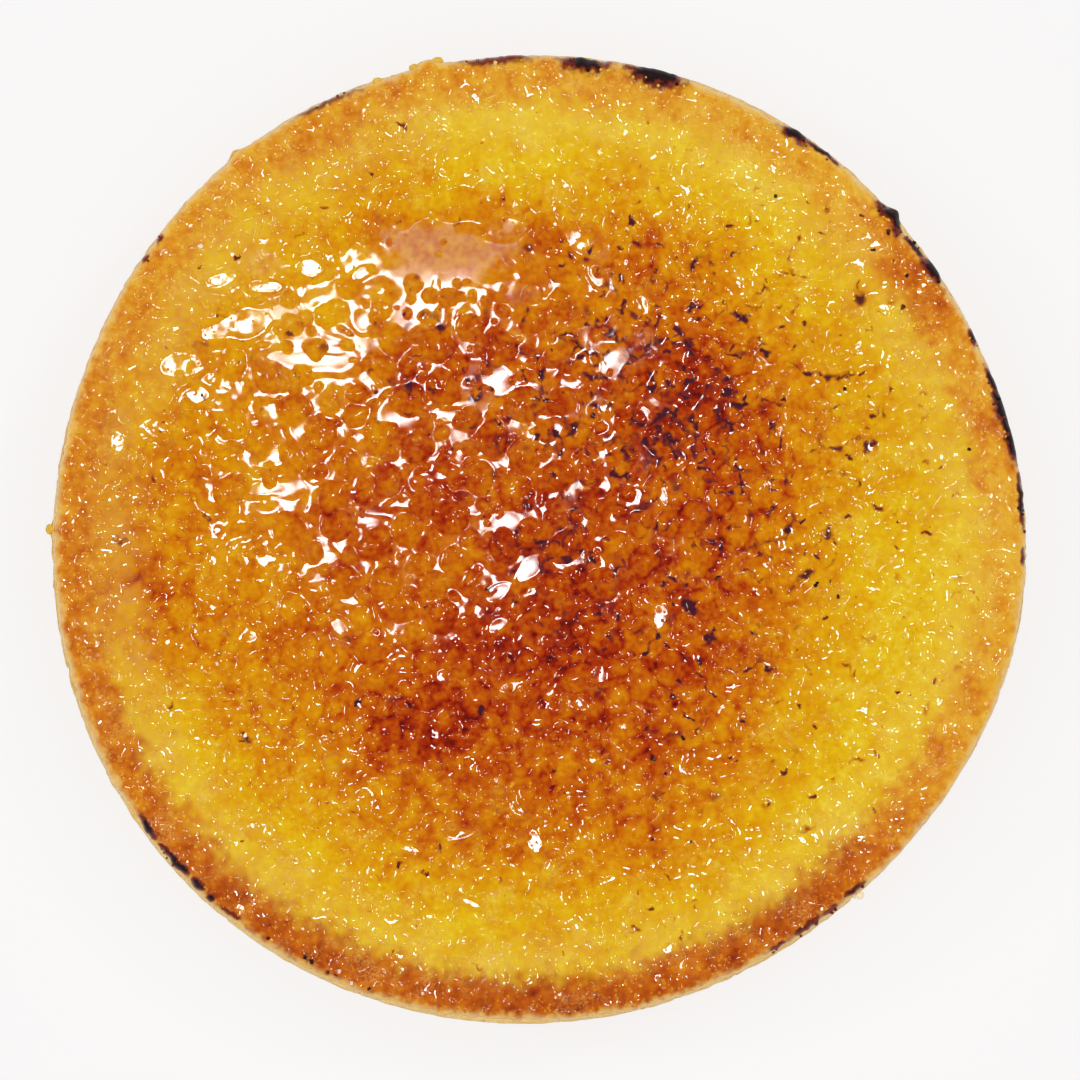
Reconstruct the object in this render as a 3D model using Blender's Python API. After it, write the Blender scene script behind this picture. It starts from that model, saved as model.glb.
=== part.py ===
"""An orange tart for one, with a burnt-sugar top.

A straight-sided pastry case holds a custard filling to its brim, and one sheet of caramel
lies over filling and rim. Boiling left the caramel blistered: large bubbles crowd together
left of the middle and thin out towards the rim. Metres, +Z up. The origin is the middle of
the base, on the surface that the tart stands on.
"""

import math
import random

import bmesh
import bpy
from mathutils import Vector
from mathutils.geometry import delaunay_2d_cdt

# The pastry case
RADIUS = 0.0485  # mean outer radius
HEIGHT = 0.0200  # from the base to the brim
WALL = 0.0042  # thickness of the side
BASE = 0.0036  # thickness of the bottom
BRIM_ROUND = 0.0010  # rounding of the brim's outer edge
FOOT_ROUND = 0.0009  # rounding where side and bottom meet
MOUTH_ROUND = 0.0005  # rounding of the brim's inner edge
INSIDE_TAPER = 0.0006  # how much thicker the side is at its foot
CORNER = 0.0010  # fillet inside, where side and bottom meet
SEGMENTS = 96  # facets round the case and the filling
ROUND_STEPS = 2  # facets across a rounded edge

# How the case is out of round: waves round it, their height and the heading of a crest
OUTLINE_WAVES = (
    (2, 0.00020, 33.5),
    (3, 0.00035, -6.7),
    (4, 0.00008, -14.8),
    (5, 0.00015, -10.8),
    (6, 0.00007, -3.3),
)
# Crumbs and drips baked onto the side just under the brim: heading, reach, half width
DRIPS = (
    (42.2, 0.00050, 0.0008),
    (102.9, 0.00060, 0.0013),
    (127.9, 0.00050, 0.0009),
    (178.8, 0.00030, 0.0007),
)
SIDE_WOBBLE = 0.00016  # how uneven the side is

# The filling's level: a shallow dish with slow swells
SINK = 0.00050
SWELL = 0.00016
SWELL_LENGTHS = (0.0110, 0.0130)

# The caramel
GAP = 0.0003  # between one piece and the next
CARAMEL = 0.00080  # thickness of the sheet between bubbles
CARAMEL_LIP = 0.00040  # its thickness at the edge
CARAMEL_INSET = 0.00070  # how far it stops short of the case's outer edge
LIP_WIDTH = 0.00080  # width over which it thins to the lip
CARAMEL_SEGMENTS = 120

# Burnt beads where the caramel runs to the very edge: heading, half width, height
BURNT_BEADS = (
    (93.0, 0.0025, 0.00018),
    (84.0, 0.0017, 0.00030),
    (75.4, 0.0019, 0.00035),
    (57.3, 0.0020, 0.00025),
    (42.2, 0.0015, 0.00035),
    (34.3, 0.0012, 0.00030),
    (15.2, 0.0040, 0.00025),
    (4.7, 0.0020, 0.00018),
    (-48.0, 0.0012, 0.00020),
    (-55.0, 0.0010, 0.00015),
    (221.0, 0.0022, 0.00025),
    (226.5, 0.0015, 0.00020),
    (244.7, 0.0010, 0.00020),
)

# The bubbles in it, from the largest down
BUBBLE_SEED = 27
BUBBLE_TRIES = 26000
BUBBLE_LARGEST = 0.00185  # radius
BUBBLE_SHRINK = 0.16  # the smallest radius tried, as a part of the largest
BUBBLE_SMALLEST = 0.00108  # radius under which a bubble is left out of the solid
BUBBLE_SPACING = 0.86  # closest centres, as a part of the two radii together
CROWD_MIDDLE = (-0.0080, 0.0090)
CROWD_REACH = (0.0260, 0.0220)
CROWD_LEAST = 0.10  # how many bubbles there are away from the crowd, as a part
DOME_RISE = (0.24, 0.50)  # height over radius, away from the crowd and in it
DOME_RINGS = ((0.62, 6), (1.00, 7))  # rings of points on a dome: part of its radius, points
PEBBLE_PITCH = 0.0036  # points on the sheet between bubbles
UNDERSIDE_PITCH = 0.0070


def bump(distance, half_width):
    """A smooth hump, 1 at its middle and near 0 at twice its half width."""
    return math.exp(-((distance / half_width) ** 2))


def along_edge(heading, other_degrees):
    """Distance along the outer edge between a heading in radians and one in degrees."""
    turn = heading - math.radians(other_degrees)
    return RADIUS * abs(math.atan2(math.sin(turn), math.cos(turn)))


def free_outline(heading):
    """Outer radius of the case before it is centred."""
    waves = sum(
        height * math.cos(count * (heading - math.radians(crest)))
        for count, height, crest in OUTLINE_WAVES
    )
    drips = sum(reach * bump(along_edge(heading, at), width) for at, reach, width in DRIPS)
    return RADIUS + waves + drips


def headings(count):
    return [2 * math.pi * i / count for i in range(count)]


def outline_middle():
    """Middle of the box round the outline, which goes to the origin."""
    xs = [free_outline(a) * math.cos(a) for a in headings(SEGMENTS)]
    ys = [free_outline(a) * math.sin(a) for a in headings(SEGMENTS)]
    return (min(xs) + max(xs)) / 2, (min(ys) + max(ys)) / 2


MIDDLE = outline_middle()


def edge_point(heading, inset):
    """A point inset from the case's outer edge, as (x, y)."""
    radius = free_outline(heading) - inset
    return radius * math.cos(heading) - MIDDLE[0], radius * math.sin(heading) - MIDDLE[1]


def fill_level(x, y):
    """Height of the filling and of the brim round it."""
    sink = SINK * (1 - (x * x + y * y) / RADIUS**2)
    swell = SWELL * math.sin(x / SWELL_LENGTHS[0] + 0.8) * math.cos(y / SWELL_LENGTHS[1] - 0.4)
    return HEIGHT - sink + swell


def side_wobble(heading, height):
    """How far the side dips in, more towards its middle height."""
    wave = math.sin(7 * heading + 180 * height) + 0.7 * math.sin(11 * heading - 260 * height + 2)
    middle = math.sin(math.pi * height / HEIGHT)
    return SIDE_WOBBLE * middle * (1 + 0.6 * wave)


def ring_at(inset, height):
    """A ring of points at one height, inset from the side."""
    return [(*edge_point(a, inset + side_wobble(a, height)), height) for a in headings(SEGMENTS)]


def ring_near_level(inset, drop):
    """A ring of points that stays a little under the filling's level."""
    ring = []
    for a in headings(SEGMENTS):
        x, y = edge_point(a, inset)
        ring.append((x, y, fill_level(x, y) - drop))
    return ring


def finish(name, colour, roughness):
    """A material of one colour, given as linear red, green and blue."""
    material = bpy.data.materials.new(name)
    material.use_nodes = True
    shader = material.node_tree.nodes["Principled BSDF"]
    shader.inputs["Base Color"].default_value = (*colour, 1)
    shader.inputs["Roughness"].default_value = roughness
    shader.inputs["Metallic"].default_value = 0
    material.diffuse_color = (*colour, 1)
    return material


def as_object(name, mesh, material):
    """Turns a bmesh into an object of the scene."""
    bmesh.ops.recalc_face_normals(mesh, faces=mesh.faces)
    data = bpy.data.meshes.new(name)
    mesh.to_mesh(data)
    mesh.free()
    data.materials.append(material)
    data.shade_smooth()
    data.set_sharp_from_angle(angle=math.radians(50))
    made = bpy.data.objects.new(name, data)
    bpy.context.scene.collection.objects.link(made)
    return made


def loft(rings, first_pole, last_pole):
    """A closed body through rings of points, with a fan of triangles at either end."""
    mesh = bmesh.new()
    loops = [[mesh.verts.new(point) for point in ring] for ring in rings]
    start = mesh.verts.new(first_pole)
    end = mesh.verts.new(last_pole)
    count = len(rings[0])
    for i in range(count):
        j = (i + 1) % count
        mesh.faces.new((start, loops[0][j], loops[0][i]))
        for lower, upper in zip(loops, loops[1:]):
            mesh.faces.new((lower[i], lower[j], upper[j], upper[i]))
        mesh.faces.new((loops[-1][i], loops[-1][j], end))
    return mesh


def quarter_round(radius, steps):
    """(inset, drop) from a square corner, along the arc that rounds it."""
    for step in range(steps + 1):
        angle = math.pi / 2 * step / steps
        yield radius * (1 - math.cos(angle)), radius * (1 - math.sin(angle))


def pastry_case(material):
    """The case: a flat bottom and an upright side, its brim rounded outside."""
    foot = [ring_at(inset, drop) for drop, inset in quarter_round(FOOT_ROUND, ROUND_STEPS)]
    side = [ring_at(0, HEIGHT * part) for part in (0.25, 0.50, 0.75)]
    brim = [
        ring_near_level(inset, drop) for inset, drop in quarter_round(BRIM_ROUND, ROUND_STEPS)
    ]
    inside = [
        ring_near_level(WALL - MOUTH_ROUND, 0),
        ring_near_level(WALL, MOUTH_ROUND),
        ring_at(WALL + 0.5 * INSIDE_TAPER, HEIGHT / 2),
        ring_at(WALL + INSIDE_TAPER, BASE + CORNER),
        ring_at(WALL + INSIDE_TAPER + CORNER, BASE),
    ]
    rings = foot + side + brim + inside
    return as_object("pastry_case", loft(rings, (0, 0, 0), (0, 0, BASE)), material)


def custard_filling(material):
    """The filling: it takes up the case to the brim, GAP clear of it."""
    lowest = BASE + GAP
    wall = WALL + GAP
    rings = [
        ring_at(wall + INSIDE_TAPER + 1.2 * CORNER, lowest),
        ring_at(wall + 1.2 * INSIDE_TAPER, lowest + CORNER),
        ring_at(wall + 0.7 * INSIDE_TAPER, HEIGHT / 2),
        ring_near_level(wall, 1.2 * MOUTH_ROUND),
        ring_near_level(wall + MOUTH_ROUND, 0),
        ring_near_level(wall + 0.30 * RADIUS, 0),
        ring_near_level(wall + 0.62 * RADIUS, 0),
    ]
    mesh = loft(rings, (0, 0, lowest), (0, 0, fill_level(0, 0)))
    return as_object("custard_filling", mesh, material)


def crowding(x, y):
    """1 where bubbles crowd together, falling away from there."""
    across = (x - CROWD_MIDDLE[0]) / CROWD_REACH[0]
    along = (y - CROWD_MIDDLE[1]) / CROWD_REACH[1]
    return math.exp(-(across * across + along * along) ** 1.5)


def bubble_layout():
    """The bubbles as (x, y, radius), thrown at random from the largest down, few overlapping."""
    draw = random.Random(BUBBLE_SEED)
    bubbles = []
    for step in range(BUBBLE_TRIES):
        radius = BUBBLE_LARGEST * BUBBLE_SHRINK ** (step / BUBBLE_TRIES)
        heading = draw.uniform(0, 2 * math.pi)
        distance = (RADIUS - WALL) * math.sqrt(draw.random())
        chance = draw.random()
        if radius < BUBBLE_SMALLEST:
            break
        x = distance * math.cos(heading)
        y = distance * math.sin(heading)
        wanted = CROWD_LEAST + (1 - CROWD_LEAST) * crowding(x, y)
        if chance > wanted * wanted:
            continue
        if all(
            math.hypot(x - other_x, y - other_y) > BUBBLE_SPACING * (radius + other)
            for other_x, other_y, other in bubbles
        ):
            bubbles.append((x, y, radius))
    return bubbles


def dome_height(x, y, bubble):
    """Height of one bubble over the sheet."""
    middle_x, middle_y, radius = bubble
    part = math.hypot(x - middle_x, y - middle_y) / radius
    rise = DOME_RISE[0] + (DOME_RISE[1] - DOME_RISE[0]) * crowding(middle_x, middle_y)
    return rise * radius * max(0.0, 1 - part * part)


def caramel_inset(heading):
    """How far the caramel stops from the case's edge: less at each burnt bead."""
    burnt = max(bump(along_edge(heading, at), width) for at, width, _ in BURNT_BEADS)
    return CARAMEL_INSET * (1 - 0.85 * burnt)


def caramel_top_height(x, y, bubbles, from_edge):
    """Height of the caramel's upper face."""
    heading = math.atan2(y, x)
    beads = max(
        height * bump(along_edge(heading, at), width) for at, width, height in BURNT_BEADS
    )
    dome = max((dome_height(x, y, bubble) for bubble in bubbles), default=0.0)
    thin = min(1.0, from_edge / LIP_WIDTH)
    body = CARAMEL_LIP + (CARAMEL - CARAMEL_LIP) * math.sqrt(thin)
    return fill_level(x, y) + GAP + body + dome + beads * bump(from_edge, 2 * LIP_WIDTH)


def grid_points(pitch, margin):
    """Points of a triangular grid that lie inside the caramel's edge by the margin."""
    rows = int(RADIUS / (pitch * math.sqrt(0.75))) + 1
    for row in range(-rows, rows + 1):
        for column in range(-rows - 1, rows + 2):
            x = pitch * (column + 0.5 * (row % 2))
            y = pitch * math.sqrt(0.75) * row
            if math.hypot(x, y) < RADIUS - CARAMEL_INSET - margin:
                yield x, y


def triangulated(edge, inner):
    """Triangles over the area inside an edge, through inner points: (points, triangles, edge's
    place among the points)."""
    links = [(i, (i + 1) % len(edge)) for i in range(len(edge))]
    given = [Vector(point) for point in edge + inner]
    points, _, triangles, sources, _, _ = delaunay_2d_cdt(given, links, [], 1, 1e-7)
    place = {source: at for at, found in enumerate(sources) for source in found}
    return points, triangles, [place[i] for i in range(len(edge))]


def caramel_top(material):
    """The sheet of caramel: its underside follows filling and brim, its top is blistered."""
    bubbles = bubble_layout()
    edge = [edge_point(a, caramel_inset(a)) for a in headings(CARAMEL_SEGMENTS)]
    shoulder = [
        edge_point(a, caramel_inset(a) + LIP_WIDTH) for a in headings(CARAMEL_SEGMENTS)
    ]
    domes = []
    for x, y, radius in bubbles:
        domes.append((x, y))
        for part, count in DOME_RINGS:
            for a in headings(count):
                domes.append((x + part * radius * math.cos(a), y + part * radius * math.sin(a)))
    clear = [
        (x, y)
        for x, y in grid_points(PEBBLE_PITCH, 2 * LIP_WIDTH)
        if all(math.hypot(x - bx, y - by) > 1.25 * radius for bx, by, radius in bubbles)
    ]

    mesh = bmesh.new()
    points, triangles, rim = triangulated(edge, shoulder + domes + clear)
    on_edge = set(rim)
    top = []
    for at, (x, y) in enumerate(points):
        from_edge = 0.0 if at in on_edge else edge_clearance(x, y)
        top.append(mesh.verts.new((x, y, caramel_top_height(x, y, bubbles, from_edge))))
    for a, b, c in triangles:
        mesh.faces.new((top[a], top[b], top[c]))

    under_points, under_triangles, under_rim = triangulated(
        edge, list(grid_points(UNDERSIDE_PITCH, UNDERSIDE_PITCH / 2))
    )
    under = [mesh.verts.new((x, y, fill_level(x, y) + GAP)) for x, y in under_points]
    for a, b, c in under_triangles:
        mesh.faces.new((under[c], under[b], under[a]))
    for i in range(CARAMEL_SEGMENTS):
        j = (i + 1) % CARAMEL_SEGMENTS
        mesh.faces.new((under[under_rim[i]], under[under_rim[j]], top[rim[j]], top[rim[i]]))
    return as_object("caramel_top", mesh, material)


def edge_clearance(x, y):
    """Distance from the caramel's edge, measured along the radius."""
    heading = math.atan2(y + MIDDLE[1], x + MIDDLE[0])
    reach = math.hypot(x + MIDDLE[0], y + MIDDLE[1])
    return max(0.0, free_outline(heading) - caramel_inset(heading) - reach)


def main():
    for leftover in list(bpy.data.objects):
        bpy.data.objects.remove(leftover)
    pastry_case(finish("pastry", (0.72, 0.40, 0.13), 0.75))
    custard_filling(finish("custard", (0.78, 0.49, 0.045), 0.45))
    caramel_top(finish("caramel", (0.61, 0.21, 0.012), 0.12))


main()
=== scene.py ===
"""The dressed orange tart: golden pastry, custard, and a sheet of burnt-sugar caramel.

The caramel is one surface, worked out as a height and a few colours at every point of a round
lattice, then cut into rings of manageable size. Sizes and places are in millimetres; a mesh is
turned into metres as it is made. Headings run counterclockwise from +X.
"""

import math
import random

import bmesh
import bpy
import numpy as np
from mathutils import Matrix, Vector
from mathutils.geometry import delaunay_2d_cdt


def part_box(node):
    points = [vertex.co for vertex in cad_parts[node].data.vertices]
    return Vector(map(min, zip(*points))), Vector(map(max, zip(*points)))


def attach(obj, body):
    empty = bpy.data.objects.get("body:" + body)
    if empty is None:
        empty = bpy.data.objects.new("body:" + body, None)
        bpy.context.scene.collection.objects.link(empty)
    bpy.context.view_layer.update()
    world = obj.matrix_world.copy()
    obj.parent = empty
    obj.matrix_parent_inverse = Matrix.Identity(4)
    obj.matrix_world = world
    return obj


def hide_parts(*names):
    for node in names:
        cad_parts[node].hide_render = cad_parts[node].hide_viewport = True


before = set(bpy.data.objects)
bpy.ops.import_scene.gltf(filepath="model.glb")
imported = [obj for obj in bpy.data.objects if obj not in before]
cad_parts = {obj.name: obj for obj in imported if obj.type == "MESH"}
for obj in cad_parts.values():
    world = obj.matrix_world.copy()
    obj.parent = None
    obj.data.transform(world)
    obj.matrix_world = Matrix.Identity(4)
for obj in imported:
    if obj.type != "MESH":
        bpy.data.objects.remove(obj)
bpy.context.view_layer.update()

MM = 0.001  # metres in a millimetre
TAU = 2 * math.pi

# ---------------------------------------------------------------- the tart's own sizes

RADIUS = 48.5  # mean outer radius of the case
HEIGHT = 20.0  # from the base to the brim
WALL = 4.2  # how thick the case is at its side
BASE = 3.6  # and at its bottom
BRIM_ROUND = 1.0  # rounding of its brim
FOOT_ROUND = 0.9  # and of its foot
OUTLINE_SEGMENTS = 96

# Waves round the outline: how many, height, heading of a crest
OUTLINE_WAVES = (
    (2, 0.2, 33.5), (3, 0.35, -6.7), (4, 0.08, -14.8), (5, 0.15, -10.8), (6, 0.07, -3.3),
)
# Crumbs and drips baked onto the side under the brim: heading, reach, half width
DRIPS = (
    (42.2, 0.5, 0.8), (102.9, 0.6, 1.3), (127.9, 0.5, 0.9), (178.8, 0.3, 0.7),
)
SIDE_WOBBLE = 0.16  # how far the side bends in
SINK = 0.50  # how far the middle has sunk
SWELL = 0.16  # height of the swells over the whole top
SWELL_LENGTHS = (11.0, 13.0)  # their lengths across and along, divided by TAU

# The caramel
CARAMEL = 0.80  # thickness of the sheet
CARAMEL_EDGE = 0.12  # its thickness at its very edge
RELIEF_SUNK = 0.25  # how far bubbles and pools start below the sheet's top
GAP = 0.30  # how far it lies over the level of the filling
LIP_WIDTH = 0.80  # how far in from its edge it reaches its thickness
CARAMEL_RINGS = 330
RING_CUTS = (0.52, 0.735, 0.90)  # where the sheet is cut into rings, as parts of its radius
SKIN = 0.05  # how far the caramel's underside sinks into what it lies on
EDGE_GRIP = 0.60  # how far down the brim's rounded edge it reaches

# Waves, each as sizes and heights: in the outlines of bubbles, in the seam between brim and
# filling, in the caramel's thin lip, in its outline, and in threads of soot
BEND_WAVES = ((3.0, 0.34), (1.1, 0.16))
SEAM_WAVES = ((3.0, 0.80), (1.0, 0.90))
LIP_WAVES = ((1.0, 0.40), (0.4, 0.25))
EDGE_WAVES = ((1.7, 0.16), (0.5, 0.10))
SOOT_WAVES = ((1.3, 0.46), (0.5, 0.20))

# Bubbles in the caramel, from the largest down, and smaller humps between them
BUBBLE_SEED = 27
BUBBLE_TRIES = 26000
BUBBLE_LARGEST = 1.85
BUBBLE_SHRINK = 0.16  # the smallest radius over the largest
BUBBLE_SPACING = 0.86  # the least distance between two, over their radii together
CROWD_MIDDLE = (-8.0, 9.0)  # where they crowd together
CROWD_REACH = (26.0, 22.0)
CROWD_LEAST = 0.10  # how readily one stands far from the crowd
DOME_RISE = (0.24, 0.50)  # height of a bubble over its radius, apart and in the crowd
HUMP_FLOOR = -0.6  # the level where no hump stands
LUMP_PITCH = 1.45  # between half-melted lumps
KNOB_PITCH = 1.0  # between the small knobs on bubbles and lumps

# Pools of molten sugar between the bubbles: x, y, half length, half width, turn in degrees, how
# far the bubbles in them have sunk, and how far in front of the middle they lie level
POOLS = (
    (-29.5, 21.5, 4.6, 1.8, 10, 0.9, 0), (-22.5, 18, 5.2, 1.3, -3, 0.9, 0),
    (-21, 19.4, 2, 0.9, 0, 0.8, 0), (-14, 12, 2.2, 1.8, 0, 0.9, 0), (-9, 28.4, 7.4, 4.2, -6, 3, 3.4),
    (-7.2, 24.6, 2.4, 0.8, -8, 1.2, 0), (-10.3, 24.4, 0.5, 1.3, 0, 1, 0),
    (-3.4, 31, 1.9, 1.2, 20, 1.2, 0), (3.6, 30.2, 1.2, 2.8, 30, 1.1, 0.4),
    (5.6, 26.6, 0.9, 1.7, 12, 0.9, 0), (7.2, 18.2, 1.8, 2.6, 0, 0.9, 0.4),
    (10.4, 23.2, 0.8, 1.4, 20, 0.7, 0), (1, 17.2, 1.2, 1, 0, 0.7, 0),
    (-4.2, 15.9, 1.9, 1.8, 20, 0.8, 0), (-22.8, 27, 1.7, 1.1, 0, 0.9, 0),
    (-17.6, 26.6, 1.2, 0.7, 30, 0.9, 0), (-27.2, 25.2, 1.9, 0.8, 0, 0.8, 0),
    (-31.6, 25.8, 1.6, 1, 10, 0.8, 0), (-25, 22.4, 1.6, 1.3, -20, 0.8, 0),
    (-17.5, 21.8, 1.1, 1.2, 10, 0.8, 0), (-12.6, 21, 0.8, 1, 0, 0.7, 0),
    (-35.4, 17.4, 2.5, 1.6, 0, 0.9, 0), (-34.4, 14.2, 1.9, 1.2, 20, 0.8, 0),
    (-25.5, 14.5, 2.4, 0.7, 0, 0.7, 0), (-19.6, 12.6, 1.4, 0.5, -10, 0.7, 0),
    (-23.6, 10.9, 1.2, 1.5, 0, 0.8, 0), (-21.6, 9.4, 0.7, 0.8, 0, 0.7, 0),
    (-30.6, 10.1, 2.6, 0.8, 4, 0.8, 0), (-26.4, 8.2, 1.6, 1, 10, 0.8, 0), (-27, 5, 2.8, 0.9, 0, 0.8, 0),
    (-22.4, 5.9, 0.8, 0.5, 0, 0.7, 0), (-17.9, 7.7, 0.8, 0.5, 0, 0.7, 0),
    (-15.7, 8.7, 1.2, 0.4, 10, 0.7, 0), (-10.6, 9.2, 0.9, 1.3, 0, 0.8, 0),
    (-8, 10.2, 0.9, 1.5, 20, 0.8, 0), (-9.6, 6.8, 1.4, 0.9, 30, 0.7, 0),
    (-5.4, 7.2, 1.8, 0.9, -20, 0.8, 0), (-0.9, 10.6, 0.7, 1.2, 0, 0.7, 0),
    (-8.8, 12.4, 2.4, 0.7, -10, 0.8, 0), (-6.8, 19.6, 1.1, 1.7, 20, 0.7, 0),
    (2.8, 22.8, 1.2, 0.7, 0, 0.7, 0), (-38.5, 11, 2, 1.2, 0, 0.8, 0), (-42, 9.5, 0.9, 1.6, 0, 0.7, 0),
    (-12.5, 3.9, 2.4, 0.6, 15, 0.8, 0), (-7, 3.2, 1.5, 0.7, -30, 0.8, 0),
    (-3.5, 1.7, 2, 1.3, 0, 0.9, 0), (-1.2, -3, 2.3, 1.1, 45, 0.9, 0), (-4, -5.2, 2, 0.9, 30, 0.9, 0),
    (-4.2, -8.6, 1.5, 0.8, 30, 0.8, 0), (2.8, 0.6, 2.1, 0.9, -25, 0.8, 0),
    (1.2, 4.3, 0.7, 1.4, -20, 0.8, 0), (6.2, 5.4, 1.4, 0.9, -30, 0.8, 0),
    (6.3, 8.5, 0.7, 1.1, 20, 0.7, 0), (7.2, -3.6, 0.8, 0.5, 30, 0.8, 0),
    (11.9, -7.8, 1, 1.7, -15, 0.8, 0), (2.5, -6.3, 0.8, 0.4, 0, 0.8, 0),
    (-27, -2.3, 1.8, 0.8, -35, 0.9, 0), (-24.6, -3.1, 2, 0.9, 0, 0.9, 0),
    (-21.8, -2.2, 2.4, 0.8, 18, 0.9, 0), (-19.6, -0.4, 0.9, 1.5, 10, 0.8, 0),
    (-19.6, -5.6, 2.2, 0.8, -25, 0.8, 0), (-19.9, -8.6, 1.2, 0.9, -40, 0.7, 0),
    (-29.6, -9.4, 1.8, 1, -20, 0.7, 0), (-17.4, 1.8, 1.9, 0.6, 0, 0.8, 0),
    (-13.4, -0.6, 0.7, 0.9, 0, 0.8, 0), (-9.8, -2.6, 1.1, 1.8, 40, 0.8, 0),
    (-13.2, -5, 1, 0.5, 0, 0.8, 0), (-10.6, -5.9, 0.9, 0.6, 0, 0.8, 0),
    (0.6, 7.6, 1.4, 0.8, 30, 0.7, 0), (12.3, 4.4, 0.7, 1.4, 20, 0.8, 0),
    (10.5, 12.5, 0.9, 1.5, 20, 0.6, 0), (6.1, -13.6, 1.3, 1.2, 0, 0.8, 0),
    (-2.6, -14.6, 1.7, 0.8, 20, 0.8, 0), (3.9, -16.4, 1.3, 0.8, -20, 0.8, 0),
    (-0.4, -30, 0.9, 1.7, 20, 0.7, 0), (-8, -29.5, 1.7, 0.6, 10, 0.7, 0),
    (-2.6, -26.6, 1.7, 0.7, -35, 0.7, 0), (0.9, -32.6, 0.6, 1.4, -25, 0.6, 0),
    (-6.8, -36.2, 1.3, 0.5, -25, 0.6, 0), (-12.8, -30.8, 1.4, 0.6, -15, 0.6, 0),
    (-19.5, -22, 1, 0.5, 0, 0.6, 0),
)
# Where the skin over them is dull: x, y, half length, half width, turn in degrees, how dull
DULLED = (
    (-10, 29, 6.4, 2.4, -6, 1), (-3.2, 29.8, 2.2, 2.4, 20, 0.9), (-13.2, 27, 2.6, 1.2, 0, 0.7),
    (-27.5, 27.6, 2.4, 1.6, 0, 0.6), (-25, 22.6, 2.4, 1.6, 0, 0.5), (9.8, 19, 2.4, 2.8, 0, 0.6),
    (6, 28.6, 1.6, 1.8, 0, 0.5), (-2, 24.6, 2.2, 1.2, 0, 0.6), (-5.6, 14, 1.4, 1.4, 0, 0.5),
)
POOL_BEND = 0.045  # how steeply a pool's face rises at its rim, as a bowl's does
POOL_NARROW = 1.5  # a wide pool rises over no more than this
POOL_RISE = 0.20  # where its face stops growing steeper
SLICKS = 90  # small smooth spots that face the light, all over the top
WET_MIDDLE = (-10.0, 11.0)
WET_REACH = (31.0, 27.0)
STILL_MIDDLE = (-22.0, 19.0)  # where the molten sugar stands stillest
STILL_REACH = (14.0, 10.0)
FLOATING = 170  # small bubbles afloat on the molten sugar
POOL_LOW = 0.055  # level of the molten sugar far from the wet middle
POOL_WET = 0.240  # how much higher it stands there
WET_WAVES = ((2.6, 0.105), (1.2, 0.012))  # size and height of the molten sugar's waves
DRY_WAVES = ((1.3, 0.165), (0.6, 0.008))

# What sees and lights the tart
VIEW_WIDTH = 107.4  # how much of the top the camera takes in
SENSOR = 36.0
CAMERA_RISE = 500.0  # camera over the caramel
CAMERA_AIM = (0.48, -0.05)  # from the middle of the outline's circle
MAIN_LIGHT = (-53.0, 46.0, 1200.0)
FLOOR_HALF = 1500.0

# Where the torch rested: x, y, reach across, reach along, how burnt
TORCHED = (
    (3.2, -1.5, 25.2, 31, 0.6), (-20, 3, 7, 9, 0.15), (-11, -30, 9, 4, 0.14), (2, -40, 10, 3, 0.1),
    (-32, -1, 17, 17, 0.36), (-20, -19, 13, 10, 0.26), (-16, 21, 9, 6, 0.12),
    (15.2, 14.5, 4.5, 5.5, 0.26), (36, 9, 7, 9, 0.12), (8, -32, 15, 5, 0.08), (21, -23, 6, 4, 0.08),
    (-18, 24, 16, 13, 0.22), (14.5, 26.5, 7, 6.5, 0.26), (1, 28, 5, 4, 0.26), (24, 12, 7.5, 8.5, 0.22),
    (16, 15.5, 4, 4, 0.34), (11.5, 9, 4, 3.4, 0.22), (-7, 19, 8, 4, 0.22), (-2, 30.5, 9, 4, 0.2),
    (-31, 18, 8, 6, 0.16), (-17, -35, 9, 5, 0.12), (8, 36.5, 5, 2.6, 0.16), (-14, 38, 7, 3, 0.1),
    (30, 20, 9, 8, 0.09), (-37, 19, 7, 9, 0.13), (-23, 14, 8, 5, 0.13), (9, 29, 4, 5, 0.18),
    (1, 2, 7, 7, 0.16), (7, 20, 5, 5, 0.12), (-3, -27, 8, 5, 0.14), (-20, -20, 5, 4, 0.14),
    (-6, -20, 7, 4, 0.08), (31, 31, 5, 4, 0.14), (-10, 29, 6, 4, 0.12), (-30, -29, 6, 5, 0.1),
    (-18, 38, 9, 3.5, 0.1), (-11, 10.5, 3.6, 2.8, 0.22), (-9, 4, 4, 4.6, 0.14),
    (1.5, -2.5, 5, 5.6, 0.28), (-4.5, -9, 5, 4.4, 0.26), (-11.5, -19, 4.8, 4, 0.28),
    (11, -20.5, 2.8, 2.2, 0.22), (15, -12, 2.6, 2.2, 0.12), (3, -10.5, 5, 3.4, 0.12),
    (-15.5, 31, 4.6, 2.2, 0.22), (-5, 33.5, 3.2, 1.8, 0.22), (-22, 10, 3, 2.4, 0.14),
    (-38, -5, 4, 3, 0.18), (-34.5, 4.5, 3.4, 2.6, 0.1), (13, -30, 7, 4, 0.14), (-10, -30, 8, 3.4, 0.1),
    (36, 27.5, 3, 2.2, 0.42), (31, 24, 2.4, 1.6, 0.18),
)

UNBURNT = 0.12  # how far the sugar has turned where the torch hardly touched it

# Where threads of soot are frequent, and where they are heavy: how much, x, y, reaches
SOOT_OFTEN = (
    (0.95, 13, 11, 12, 12.5), (0.55, 13.5, -10, 9, 14), (0.45, 13, 28, 13, 6), (0.55, -6, 16, 22, 8),
    (0.42, 28, 5, 10, 24), (0.7, 1, -2, 7, 8), (0.3, 8, 20, 8, 5),
)
SOOT_HEAVY = (
    (1.15, 14.2, 14, 3.6, 4.6), (0.95, 11.2, 8.6, 3.6, 3.8), (0.6, 14.5, -11.5, 3, 6.5),
    (0.75, 7.5, 21, 5.5, 4), (0.5, -6, 17, 12, 4.5), (1.05, 0.5, -2, 4.5, 5),
)

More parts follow.
